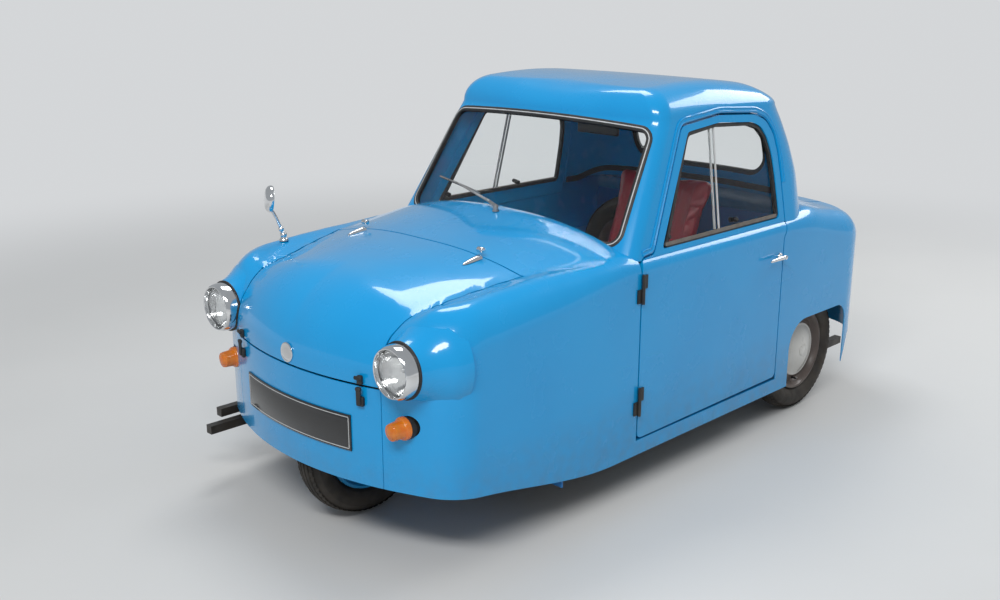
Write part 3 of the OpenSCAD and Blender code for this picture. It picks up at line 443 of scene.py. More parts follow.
def finish_of(name, colour, other, mottle=(6, 0.35), rough=(0.3, 0.4), rough_scale=12, bump=(0, 200),
              grime=None, **shader):
    """A procedural finish: two colours mixed by noise, uneven roughness, a fine bump, and grime low down."""
    material = bpy.data.materials.new(name)
    material.use_nodes = True
    tree = material.node_tree
    nodes, link = tree.nodes, tree.links.new
    bsdf = nodes["Principled BSDF"]
    place = nodes.new("ShaderNodeTexCoord").outputs["Object"]

    def noise(scale, detail=4.0):
        n = nodes.new("ShaderNodeTexNoise")
        n.inputs["Scale"].default_value = scale
        n.inputs["Detail"].default_value = detail
        link(place, n.inputs["Vector"])
        return n.outputs["Fac"]

    def ramp(value, low, high, out_low, out_high):
        r = nodes.new("ShaderNodeMapRange")
        for key, v in zip(("From Min", "From Max", "To Min", "To Max"), (low, high, out_low, out_high)):
            r.inputs[key].default_value = v
        link(value, r.inputs["Value"])
        return r.outputs["Result"]

    def mix(factor, a, b):
        m = nodes.new("ShaderNodeMix")
        m.data_type = "RGBA"
        link(factor, m.inputs["Factor"])
        for socket, value in ((m.inputs[6], a), (m.inputs[7], b)):
            if isinstance(value, tuple):
                socket.default_value = (*value, 1)
            else:
                link(value, socket)
        return m.outputs[2]

    tone = mix(ramp(noise(mottle[0]), 0.35, 0.65, 0, mottle[1]), colour, other)
    if grime:
        dirt, low_z, high_z, amount = grime
        split = nodes.new("ShaderNodeSeparateXYZ")
        link(place, split.inputs["Vector"])
        height = ramp(split.outputs["Z"], low_z, high_z, amount, 0)
        patch = ramp(noise(23, 6), 0.3, 0.7, 0.25, 1)
        product = nodes.new("ShaderNodeMath")
        product.operation = "MULTIPLY"
        link(height, product.inputs[0])
        link(patch, product.inputs[1])
        tone = mix(product.outputs[0], tone, dirt)
    link(tone, bsdf.inputs["Base Color"])
    link(ramp(noise(rough_scale), 0.3, 0.7, *rough), bsdf.inputs["Roughness"])
    if bump[0]:
        b = nodes.new("ShaderNodeBump")
        b.inputs["Strength"].default_value = bump[0]
        b.inputs["Distance"].default_value = 0.002
        link(noise(bump[1], 3), b.inputs["Height"])
        link(b.outputs["Normal"], bsdf.inputs["Normal"])
    for key, value in shader.items():
        bsdf.inputs[key.replace("_", " ")].default_value = value
    return material


def brown_dirt(low_z, high_z, amount):
    return (0.11, 0.085, 0.055), low_z, high_z, amount


BLUE = (0.002, 0.29, 0.64)
blue_paint = finish_of("blue_paint", BLUE, (0.004, 0.33, 0.7), (3, 0.5), (0.2, 0.3), 9, (0.012, 900),
                       brown_dirt(0.14, 0.42, 0.35), Coat_Weight=0.8, Coat_Roughness=0.04,
                       Specular_IOR_Level=0.2)
inner_blue = finish_of("inner_blue_paint", (0.004, 0.16, 0.46), (0.005, 0.12, 0.36), (7, 0.6), (0.4, 0.55), 15,
                       (0.06, 500))
black_paint = finish_of("black_paint", (0.014, 0.014, 0.015), (0.03, 0.026, 0.022), (18, 0.7), (0.35, 0.6), 25,
                        (0.08, 400), brown_dirt(0.08, 0.4, 0.3))
black_rubber = finish_of("black_rubber", (0.012, 0.012, 0.012), (0.03, 0.03, 0.03), (30, 0.6), (0.45, 0.7), 40,
                         (0.15, 700))
chrome = finish_of("chrome_trim", (0.78, 0.79, 0.8), (0.62, 0.62, 0.62), (14, 0.5), (0.05, 0.14), 20,
                   (0.01, 900), Metallic=1.0)
steel = finish_of("wiper_steel", (0.45, 0.45, 0.45), (0.3, 0.29, 0.28), (40, 0.6), (0.25, 0.4), 60, (0.05, 500),
                  Metallic=1.0)
dull_steel = finish_of("dull_steel", (0.12, 0.115, 0.11), (0.16, 0.09, 0.05), (12, 0.7), (0.5, 0.8), 20,
                       (0.25, 220), brown_dirt(0.1, 0.5, 0.4), Metallic=0.6)
glass = finish_of("clear_glass", (0.97, 0.985, 0.985), (0.95, 0.97, 0.97), (4, 0.5), (0.0, 0.02), 9,
                  Transmission_Weight=1.0, IOR=1.2)
lamp_glass = finish_of("lamp_glass", (0.97, 0.98, 0.98), (0.92, 0.94, 0.95), (8, 0.5), (0.0, 0.04), 20,
                       Transmission_Weight=1.0, IOR=1.45)
amber = finish_of("amber_lens", (0.86, 0.2, 0.008), (0.95, 0.32, 0.02), (60, 0.6), (0.08, 0.16), 30, (0.06, 300),
                  Transmission_Weight=0.35, Coat_Weight=0.5)
red = finish_of("red_lens", (0.5, 0.008, 0.008), (0.62, 0.02, 0.015), (60, 0.6), (0.08, 0.16), 30, (0.06, 300),
                Transmission_Weight=0.35, Coat_Weight=0.5)
plate_black = finish_of("plate_black", (0.01, 0.01, 0.011), (0.03, 0.03, 0.03), (10, 0.4), (0.12, 0.25), 20,
                        (0.02, 600), Coat_Weight=0.4)
pale_trim = finish_of("pale_trim", (0.55, 0.56, 0.56), (0.42, 0.42, 0.42), (25, 0.6), (0.25, 0.4), 30)
leather = finish_of("burgundy_leather", (0.24, 0.002, 0.012), (0.33, 0.006, 0.02), (9, 0.8), (0.28, 0.5), 14,
                    (0.3, 160), Coat_Weight=0.15, Coat_Roughness=0.3)
tyre_rubber = finish_of("tyre_rubber", (0.022, 0.019, 0.016), (0.05, 0.04, 0.03), (14, 0.8), (0.6, 0.85), 30,
                        (0.3, 320))
wheel_grey = finish_of("grey_wheel_paint", (0.6, 0.59, 0.56), (0.5, 0.49, 0.46), (9, 0.6), (0.25, 0.4), 14,
                       (0.04, 500), brown_dirt(0.05, 0.3, 0.25), Coat_Weight=0.3)
wheel_brown = finish_of("brown_wheel_paint", (0.075, 0.055, 0.048), (0.12, 0.09, 0.075), (14, 0.6), (0.3, 0.5), 18,
                        (0.06, 500), brown_dirt(0.05, 0.3, 0.25), Coat_Weight=0.2)
reflector = finish_of("lamp_reflector", (0.8, 0.8, 0.8), (0.7, 0.7, 0.7), (10, 0.5), (0.08, 0.16), 20,
                      Metallic=1.0)


# ---- Outlines, as in the CAD source ----

door_outline = filleted([(DOOR_FRONT_Y, DOOR_BOTTOM_Z), (DOOR_FRONT_Y, 0.8), (-0.313, 0.834), (-0.28, WAIST_Z),
                         (-0.25, WAIST_Z), (-0.026, 1.234), (0.197, 1.254), (0.42, 1.238), (0.486, 1.212),
                         (0.526, 1.16), (0.542, 1.09), (0.547, 1.0), (0.547, 0.816), (0.538, 0.798),
                         (0.527, 0.782), (DOOR_REAR_Y, 0.77), (DOOR_REAR_Y, DOOR_BOTTOM_Z + 0.006)], 0.022)
window_outline = filleted([(-0.205, 0.85), (0.002, 1.208), (0.012, 1.214), (0.19, 1.229), (0.4, 1.213),
                           (0.455, 1.19), (0.49, 1.14), (0.506, 1.08), (0.512, 1.0), (0.514, 0.86),
                           (0.506, 0.85)], 0.02)
bonnet_side = [(crease_x(y), y) for y in np.linspace(-1.19, -0.8, 14)]
bonnet_right = [(BONNET_HALF_W, -FAR), (BONNET_HALF_W, -1.21), *bonnet_side, (0.461, -0.762), (0, -0.776)]
bonnet_outline = bonnet_right + [(-x, y) for x, y in bonnet_right[-2::-1]]
scuttle_outline = [(-0.461 - GAP, -0.762), (0, -0.776), (0.461 + GAP, -0.762), (0.575, -0.388), (0.575, -0.3),
                   (-0.575, -0.3), (-0.575, -0.388)]


def eased_step(t):
    t = min(max(t, 0), 1)
    return t * t * (3 - 2 * t)


lower_edge = [(y, SILL_Z + (NOSE_BOTTOM_Z - SILL_Z) * eased_step((-0.45 - y) / 0.8))
              for y in np.linspace(-1.31, -0.45, 30)]
below_outline = [(-FAR, 0), (-FAR, NOSE_BOTTOM_Z), *lower_edge, (ARCH_REAR_Y, SILL_Z),
                 (ARCH_REAR_Y + 0.047, TAIL_BOTTOM_Z), (FAR, TAIL_BOTTOM_Z), (FAR, 0)]


def arc(centre, r, start, end, steps=12):
    return [(centre[0] + r * math.cos(a), centre[1] + r * math.sin(a))
            for a in np.radians(np.linspace(start, end, steps))]


arch_outline = ([(ARCH_FRONT_Y, 0.05)]
                + arc((ARCH_FRONT_Y + ARCH_FRONT_R, ARCH_TOP_Z - ARCH_FRONT_R), ARCH_FRONT_R, 180, 90)
                + arc((ARCH_REAR_Y - ARCH_REAR_R, ARCH_TOP_Z - ARCH_REAR_R), ARCH_REAR_R, 90, 0)
                + [(ARCH_REAR_Y, 0.05)])
SCREEN_LOW, SCREEN_HIGH, SCREEN_HALF_LOW, SCREEN_HALF_HIGH, SCREEN_R = 0.036, 0.474, 0.518, 0.484, 0.055
REAR_HALF_W, REAR_LOW_Z, REAR_HIGH_Z, REAR_WINDOW_R = 0.340, 0.938, 1.185, 0.100


def rounded_frame(low, high, half_low, half_high, r, inset=0.0, steps=9):
    """An upright outline with round corners, wider at the bottom or the top."""
    lo, hi, r = low + inset, high - inset, r - inset
    a, b = half_low - inset - r, half_high - inset - r
    return (arc((a, lo + r), r, -90, 0, steps) + arc((b, hi - r), r, 0, 90, steps)
            + arc((-b, hi - r), r, 90, 180, steps) + arc((-a, lo + r), r, 180, 270, steps))


def screen_outline(inset=0.0):
    return rounded_frame(SCREEN_LOW, SCREEN_HIGH, SCREEN_HALF_LOW, SCREEN_HALF_HIGH, SCREEN_R, inset)


def rear_outline(inset=0.0):
    return rounded_frame(REAR_LOW_Z, REAR_HIGH_Z, REAR_HALF_W, REAR_HALF_W, REAR_WINDOW_R, inset)


screen_plane = Matrix.Translation((0, *SCREEN_FOOT)) @ Matrix.Rotation(SCREEN_RAKE, 4, "X")


def screen_prism(inset):
    cutter = prism(screen_outline(inset), 2, -0.15, 0.15)
    cutter.data.transform(screen_plane)
    return cutter


def rear_prism(inset):
    return prism(rear_outline(inset), 1, 0.4, FAR)


# ---- Panels ----


def shell(rows, outer, inner, name):
    return cut(mirrored_solid(name, rows(outer)), mirrored_solid("inner", rows(inner)))


body_outer = mirrored_solid("body_outer", body_rows(0))
cab_outer = mirrored_solid("cab_outer", cab_rows(0))
body_skin = shell(body_rows, 0, SKIN, "body_skin")
body_thick = shell(body_rows, 0, DOOR_T, "body_thick")
cab_skin = shell(cab_rows, 0, CAB_T, "cab_skin")
body_tree = BVHTree.FromObject(body_outer, bpy.context.evaluated_depsgraph_get())
cab_tree = BVHTree.FromObject(cab_outer, bpy.context.evaluated_depsgraph_get())


def below(obj):
    return cut(obj, prism(below_outline, 0, -FAR, FAR), prism(arch_outline, 0, -FAR, FAR))


def panel_side(make, stem, body=None, node=None):
    """The same panel on both sides."""
    left = make()
    right = flipped(copy_of(left))
    for obj, side in ((left, 1), (right, -1)):
        name = f"{stem}_{SIDE_NAME[side]}"
        placed(obj, f"{name}_panel", body.format(SIDE_NAME[side]) if body else "root", blue_paint,
               [name])


def nose():
    obj = within(copy_of(body_skin), block((-BONNET_HALF_W - 0.0035, -FAR, 0),
                                           (BONNET_HALF_W + 0.0035, BULKHEAD_Y, BONNET_SEAM_Z)))
    placed(below(obj), "nose_panel_skin", "root", blue_paint, ["nose_panel"])


LAMP_X, LAMP_Z = 0.458, 0.654
LAMP_R = 0.082
SIGNAL_Z, SIGNAL_R = 0.478, 0.037
TAIL_LAMP_X, TAIL_LAMP_LEVELS, TAIL_LAMP_R = 0.476, (0.56, 0.64), 0.034


def hole(x, z, r, y_low, y_high):
    outline = [(x + r * math.cos(a), z + r * math.sin(a)) for a in np.linspace(0, 2 * math.pi, 72, False)]
    return prism(outline, 1, y_low, y_high)


def wing():
    obj = within(copy_of(body_skin), block((0, -FAR, 0), (FAR, DOOR_FRONT_Y - GAP, FAR)))
    cut(obj, block((-FAR, -FAR, 0), (BONNET_HALF_W + 0.006, BULKHEAD_Y, BONNET_SEAM_Z)),
        prism(grown(bonnet_outline, 0.006), 2, BONNET_SEAM_Z - 0.001, FAR),
        prism(scuttle_outline, 2, BONNET_SEAM_Z, FAR))
    cut(below(obj), copy_of(cab_outer), hole(LAMP_X, LAMP_Z, LAMP_R, -FAR, -1.245),
        hole(LAMP_X, LAMP_Z, LAMP_R - 0.012, -FAR, -1.0), hole(LAMP_X, SIGNAL_Z, SIGNAL_R - 0.004, -FAR, -1.0))
    return obj


def scuttle():
    obj = within(copy_of(body_skin), prism(scuttle_outline, 2, BONNET_SEAM_Z, FAR),
                 block((-FAR, -FAR, 0), (FAR, DOOR_FRONT_Y - GAP, FAR)))
    cut(obj, prism(grown(bonnet_outline, 0.006), 2, BONNET_SEAM_Z, FAR), copy_of(cab_outer))
    placed(obj, "scuttle_skin", "root", blue_paint, ["scuttle_panel"])


def bonnet():
    obj = within(copy_of(body_skin), prism(bonnet_outline, 2, BONNET_SEAM_Z + GAP, FAR))
    placed(obj, "bonnet_skin", "bonnet", blue_paint, ["bonnet"])


def quarter():
    obj = within(copy_of(body_skin), block((QUARTER_SPLIT_X, DOOR_REAR_Y + GAP - 0.001, 0), (FAR, FAR, FAR)))
    cut(obj, block((0, 0, 0), (FAR, ARCH_FRONT_Y, DOOR_BOTTOM_Z - GAP)),
        prism(grown(door_outline, GAP - 0.001), 0, -FAR, FAR))
    cut(below(obj), copy_of(cab_outer),
        *[hole(TAIL_LAMP_X, z, TAIL_LAMP_R - 0.003, 1.0, FAR) for z in TAIL_LAMP_LEVELS])
    return obj


def lid_block(gap):
    return block((-LID_HALF_W - gap, LID_FRONT_Y - gap, LID_BOTTOM_Z - gap), (LID_HALF_W + gap, FAR, FAR))


def tail():
    obj = within(copy_of(body_skin), block((-QUARTER_SPLIT_X, REAR_WALL_Y, 0), (QUARTER_SPLIT_X, FAR, FAR)))
    cut(below(cut(obj, lid_block(GAP))), copy_of(cab_outer))
    placed(obj, "tail_skin", "root", blue_paint, ["tail_panel"])
    lid = within(copy_of(body_skin), lid_block(0))
    placed(lid, "engine_lid_skin", "engine_lid", blue_paint, ["engine_lid"])


def sills():
    obj = within(copy_of(body_thick), block((-FAR, DOOR_FRONT_Y - GAP, SILL_Z),
                                            (FAR, ARCH_FRONT_Y, DOOR_BOTTOM_Z - GAP)))
    cut(obj, block((DOOR_T - HALF_W, -FAR, 0), (HALF_W - DOOR_T, FAR, FAR)))
    placed(obj, "sill_skins", "root", blue_paint, ["sills"])


def door():
    lower = within(copy_of(body_thick), block((HALF_W - DOOR_T - 0.006, -FAR, 0), (FAR, FAR, FAR)))
    upper = cut(copy_of(cab_skin), block((-FAR, -FAR, 0), (FAR, FAR, WAIST_Z - 0.006)))
    obj = combined(lower, "UNION", upper)
    within(obj, prism(door_outline, 0, 0.4, FAR))
    return cut(obj, prism(window_outline, 0, 0.3, FAR))


def cab():
    obj = cut(copy_of(cab_skin), block((-FAR, -FAR, 0.7), (FAR, FAR, CAB_FOOT_Z + 0.0005)), copy_of(body_outer),
              screen_prism(0), rear_prism(0))
    gap = grown(door_outline, GAP)
    cut(obj, prism(gap, 0, 0.38, FAR), prism(gap, 0, -FAR, -0.38),
        block((-FAR, -0.3, 0), (FAR, REAR_WALL_Y - 0.06, WAIST_Z + 0.004)))
    placed(obj, "cab_skin_panel", "root", blue_paint, ["cab_shell"])


nose()
panel_side(wing, "front_wing")
scuttle()
bonnet()
panel_side(quarter, "rear_quarter")
tail()
sills()
panel_side(door, "door", "door_{}")
cab()

# ---- Glass, seals and gutters ----

GLASS_DEPTH, GLASS_T = 0.006, 0.005
PANE_DEPTH, PANE_T, PANE_SPLIT_Y = 0.009, 0.004, 0.130
PANE_LAP, PANE_TILT = 0.020, 0.08


def paced(points, step, closed=True):
    """The same outline with points at an even pitch."""
    p = np.array(points, float)
    if closed:
        p = np.vstack([p, p[:1]])
    lengths = np.concatenate([[0], np.cumsum(np.linalg.norm(np.diff(p, axis=0), axis=1))])
    count = max(4, round(lengths[-1] / step))
    at = np.linspace(0, lengths[-1], count, not closed)
    return np.stack([np.interp(at, lengths, p[:, k]) for k in range(p.shape[1])], 1)


def cast(tree, start, direction):
    """Where a ray first meets a surface, and the surface's outward direction there."""
    point, normal, _, _ = tree.ray_cast(Vector(start), Vector(direction))
    if point is None:
        raise ValueError(f"no surface from {tuple(start)} along {tuple(direction)}")
    return point, normal if normal.dot(Vector(direction)) < 0 else -normal


def projected(tree, starts, direction, lift=0.0):
    hits = [cast(tree, s, direction) for s in starts]
    return [p + n * lift for p, n in hits], [n for _, n in hits]


def window_panes():
    panes = shell(cab_rows, GLASS_DEPTH, GLASS_DEPTH + GLASS_T, "panes")
    for name, cutter in (("windscreen", screen_prism(SEAL_W - 0.004)), ("rear_window", rear_prism(SEAL_W - 0.004))):
        nodes = ["window_glass"] if name == "windscreen" else []
        placed(within(copy_of(panes), cutter), name, "root", glass, nodes, 60)
    bpy.data.objects.remove(panes)


SEAL_PROFILE = [(-0.010, -0.014), (-0.011, 0.0005), (-0.008, 0.0026), (-0.003, 0.003), (0.003, 0.003),
                (0.008, 0.0026), (0.011, 0.0005), (0.010, -0.014)]


def fixed_seals():
    screen_normal = screen_plane.to_3x3() @ Vector((0, 0, 1))
    flat = [screen_plane @ Vector((u, v, 0)) for u, v in paced(screen_outline(SEAL_W / 2), 0.012)]
    front, front_normals = projected(cab_tree, [p + screen_normal * 0.3 for p in flat], -screen_normal)
    rear, rear_normals = projected(cab_tree, [(x, 1.5, z) for x, z in paced(rear_outline(SEAL_W / 2), 0.012)],
                                   (0, -1, 0))
    seals = [swept(p, SEAL_PROFILE, n, closed=True) for p, n in ((front, front_normals), (rear, rear_normals))]
    made("window_seal_rubber", seals, "root", black_rubber, ["window_seals"])
    trims = [swept([a + b * 0.0022 for a, b in zip(p, n)], circle_profile(0.0026, 8, 0.5), n, closed=True)
             for p, n in ((front, front_normals), (rear, rear_normals))]
    made("window_seal_trim", trims, "root", pale_trim)


def inner_window_seals():
    """Dark edging of the cab inside, along the waist behind the doors."""
    waist = []
    plan = cab_plan(0.87, CAB_T + 0.004)
    for u in np.linspace(2.78, 5, 40):
        x, y = plan_point(plan, u)
        if y > 0.56:
            waist.append(Vector((x, y, 0.85 + 0.045 * eased_step((y - 0.62) / 0.14))))
    path = waist + [Vector((-p.x, p.y, p.z)) for p in waist[-2::-1]]
    normals = [Vector((-p.x, 0.3 - p.y, 0)).normalized() for p in path]
    made("waist_rail", [swept(path, [(-0.012, -0.004), (-0.012, 0.004), (0.012, 0.004), (0.012, -0.004)],
                              normals)], "root", black_rubber)


def split_y(z):
    return PANE_SPLIT_Y + PANE_TILT * (z - 1.04)


def pane_side(far_y, lap):
    return prism([(far_y, 0), (split_y(0) + lap, 0), (split_y(FAR) + lap, FAR), (far_y, FAR)], 0, 0.3, FAR)


def door_windows():
    outline = filleted([tuple(p) for p in window_outline[::5]], 0.01, 3)
    for side in SIDES:
        name = SIDE_NAME[side]
        body = f"door_{name}"
        front = within(shell(cab_rows, PANE_DEPTH, PANE_DEPTH + PANE_T, "pane"),
                       prism(window_outline, 0, 0.3, FAR), pane_side(-FAR, PANE_LAP))
        depth = PANE_DEPTH + PANE_T + 0.0005
        rear = within(shell(cab_rows, depth, depth + PANE_T, "pane"), prism(window_outline, 0, 0.3, FAR),
                      pane_side(FAR, 0))
        for obj, which in ((front, "front"), (rear, "rear")):
            if side < 0:
                flipped(obj)
            placed(obj, f"door_pane_{which}_{name}", body, glass,
                   [f"door_glass_{name}"] if which == "front" else [], 60)

        def strip(points, profile, depth_of):
            p, n = projected(cab_tree, [(1.5, y, z) for y, z in points], (-1, 0, 0))
            p = [a - b * depth_of for a, b in zip(p, n)]
            if side < 0:
                p, n = [Vector((-a.x, a.y, a.z)) for a in p], [Vector((-b.x, b.y, b.z)) for b in n]
            return swept(p, profile, n)

        flat = [(-0.0035, -0.004), (-0.0035, 0.002), (0.0035, 0.002), (0.0035, -0.004)]
        edges = [strip([(split_y(z) + lap, z) for z in np.linspace(0.868, 1.216, 8)], flat, d)
                 for lap, d in ((PANE_LAP, PANE_DEPTH), (0, depth))]
        made(f"pane_edges_{name}", edges, body, pale_trim)
        channel = [(-0.0065, -0.012), (-0.0065, 0.004), (0.0065, 0.004), (0.0065, -0.012)]
        ring = grown(outline, -0.005)
        loop = np.vstack([paced(ring, 0.014), paced(ring, 0.014)[:1]])
        made(f"window_channel_{name}", [strip(loop, channel, PANE_DEPTH - 0.001)], body, black_rubber)
        rail = [(-0.006, -0.003), (-0.006, 0.006), (0.006, 0.006), (0.006, -0.003)]
        made(f"window_rail_{name}", [strip([(y, 0.862) for y in np.linspace(-0.18, 0.5, 24)], rail, PANE_DEPTH)],
             body, rail_grey)
        knobs = []
        for y, z in ((-0.155, 0.884), (0.243, 0.884)):
            p, n = cast(cab_tree, (1.5, y, z), (-1, 0, 0))
            p, n = Vector((side * p.x, p.y, p.z)), Vector((side * n.x, n.y, n.z))
            knobs.append(revolved([(0, -0.008), (0.008, -0.008), (0.008, 0.001), (0.006, 0.004), (0, 0.004)],
                                  p - n * 0.004, n, 20))
            knobs.append(revolved([(0, -0.03), (0.009, -0.03), (0.009, -0.012), (0, -0.012)], p - n * 0.006, n, 20))
        made(f"window_catches_{name}", knobs, body, black_rubber)


def gutters():
    """Rain gutter with two ridges, up the pillar, over the door and down behind it."""
    ridges = [(-0.010, -0.002), (-0.0095, 0.003), (-0.0065, 0.0045), (-0.004, 0.0015), (0.003, 0.0015),
              (0.0055, 0.005), (0.009, 0.0035), (0.010, -0.002)]
    outer = grown(door_outline, 0.019)
    keep = [tuple(p) for p in outer if p[1] > WAIST_Z + 0.012]
    start = min(range(len(keep)), key=lambda i: keep[i][0])
    line = paced(keep[start:] + keep[:start], 0.014, closed=False)
    points, normals = projected(cab_tree, [(1.5, y, z) for y, z in line], (-1, 0, 0))
    made("rain_gutters", [swept(points, ridges, normals)], "root", blue_paint, mirror=True)


rail_grey = finish_of("window_rail", (0.17, 0.15, 0.13), (0.1, 0.09, 0.08), (40, 0.7), (0.5, 0.7), 50)
window_panes()
fixed_seals()
inner_window_seals()
door_windows()
gutters()


# ---- Lamps, plates and trim ----

LAMP_BACK_Y = 1.205


def ring_on_body(x, z, r, thick):
    """A rubber ring round a lamp, lying on the front of the body."""
    starts = [(x + r * math.cos(a), -2, z + r * math.sin(a)) for a in np.linspace(0, 2 * math.pi, 72, False)]
    path, normals = projected(body_tree, starts, (0, 1, 0), 0.001)
    return swept(path, circle_profile(thick, 10), normals, closed=True)


def headlamps():
    rim = [(0.070, 1.246), (0.0815, 1.247), (0.0815, 1.262), (0.0803, 1.274), (0.0775, 1.283), (0.0735, 1.2875),
           (0.0705, 1.2865), (0.0685, 1.281), (0.0685, 1.262)]
    bowl = [(0, 1.212), (0.022, 1.214), (0.042, 1.224), (0.058, 1.24), (0.0675, 1.258), (0.069, 1.258),
            (0.060, 1.238), (0.043, 1.220), (0.022, 1.209), (0, 1.207)]
    can = [(0, LAMP_BACK_Y), (0.05, LAMP_BACK_Y), (0.068, 1.225), (0.0695, 1.246), (0.066, 1.246), (0.062, 1.226),
           (0.046, 1.2065), (0, 1.2062)]
    dome = [(r, 1.1073 + math.sqrt(0.18 ** 2 - r * r)) for r in np.linspace(0, 0.0682, 22)]
    lens = dome + [(r, h - 0.004) for r, h in dome[::-1]]
    skirt = [(0.078, 1.232), (0.0815, 1.232), (0.0815, 1.2468), (0.078, 1.2468)]
    pod = [(0.079, 1.1), (0.15, 1.1), (0.145, 1.135), (0.128, 1.163), (0.113, 1.183), (0.1, 1.204), (0.092, 1.222),
           (0.0875, 1.2355), (0.086, 1.2405), (0.079, 1.2405)]
    rims, lenses, bowls, cans, gaskets, skirts, pods = [], [], [], [], [], [], []
    for side in SIDES:
        centre = Vector((side * LAMP_X, 0, LAMP_Z))
        forward = Vector((0, -1, 0))
        rims.append(revolved(rim, centre, forward, 96, closed=True))
        skirts.append(revolved(skirt, centre, forward, 96, closed=True))
        bowls.append(revolved(bowl, centre, forward, 64))
        bowls.append(ball(centre + forward * 1.236, 0.009))
        cans.append(revolved(can, centre, forward, 64))
        points, faces = revolved(lens, centre, forward, 160)
        front = 1 + 160 * (len(dome) - 1)
        for v in points[:front]:
            across, rise = v.x - centre.x, v.z - LAMP_Z
            if math.hypot(across, rise) < 0.062:
                v.y += 0.0006 * (1 - math.cos(2 * math.pi * across / 0.0085))
        lenses.append((points, faces))
        gaskets.append(ring_on_body(centre.x, LAMP_Z, LAMP_R + 0.0022, 0.0024))
        gaskets.append(revolved([(0.081, 1.2405), (0.0868, 1.2405), (0.0868, 1.2445), (0.0852, 1.246), (0.081, 1.246)],
                                centre, forward, 96, closed=True))
        pods.append(revolved(pod, centre, forward, 96, closed=True))
    made("headlamp_rim_rings", rims, "root", chrome, ["headlamp_rims"])
    cut(made("headlamp_skirts", skirts, "root", chrome), copy_of(body_outer))
    cut(made("headlamp_pods", pods, "root", blue_paint), copy_of(body_outer))
    made("headlamp_reflectors", bowls, "root", reflector)
    made("headlamp_bowls", cans, "root", black_paint)
    made("headlamp_glasses", lenses, "root", lamp_glass, ["headlamp_lenses"])
    made("headlamp_gaskets", gaskets, "root", black_rubber)


def small_lamps():
    def dome(r, base, height, ribs=5):
        line = []
        for k in np.linspace(0, 1, 30):
            ripple = 0.0004 * math.sin(2 * math.pi * ribs * k)
            line.append((r * math.cos(k * math.pi / 2) + ripple * (1 - k), base + height * math.sin(k * math.pi / 2)))
        line[-1] = (0, base + height)
        return [(0, base - 0.03), (r, base - 0.03)] + line

    def base(r, back, face, wall=0.006):
        return [(r - wall, back), (r, back), (r, face - 0.004), (r - 0.0015, face), (r - wall, face)]

    signal = [(0, 1.2278), (0.0355, 1.2278), (0.0355, 1.236), (0.0335, 1.2395), (0.0305, 1.2405), (0.0285, 1.243),
              (0.0268, 1.2745), (0.0255, 1.2785), (0.0242, 1.2787), (0.0222, 1.2775), (0.0202, 1.28),
              (0.0138, 1.2845), (0, 1.2868)]
    bases_and_painted_shadow = []
    for s in SIDES:
        name = SIDE_NAME[s]
        centre, forward = (s * (LAMP_X - 0.012), 0, SIGNAL_Z - 0.006), (0, -1, 0)
        lamp = revolved(signal, centre, forward, 64)
        # Black rubber plinth behind each indicator: partly the lamp's dark rim, partly a painted shadow where the lamp
        # stands off the body
        bases_and_painted_shadow.append(revolved([(0, 1.15), (0.0366, 1.15), (0.0366, 1.2275), (0, 1.2275)], centre, forward, 64))
        cut(made(f"indicator_{name}", [lamp], "root", amber, ["indicator_lamps"] if s > 0 else []),
            copy_of(body_outer))
    cut(made("indicator_bases_and_painted_shadow", bases_and_painted_shadow, "root", black_rubber), copy_of(body_outer))
    tails, tail_rings = [], []
    for s in SIDES:
        for z in TAIL_LAMP_LEVELS:
            tails.append(revolved(dome(0.0285, 1.232, 0.018), (s * TAIL_LAMP_X, 0, z), (0, 1, 0), 48))
            tail_rings.append(revolved(base(TAIL_LAMP_R, 1.184, 1.236), (s * TAIL_LAMP_X, 0, z), (0, 1, 0), 48,
                                       closed=True))
    made("tail_lamp_domes", tails, "root", red, ["tail_lamps"])
    made("tail_lamp_rings", tail_rings, "root", chrome)


PLATE_W, PLATE_H, PLATE_LOW_Z = 0.539, 0.114, 0.364


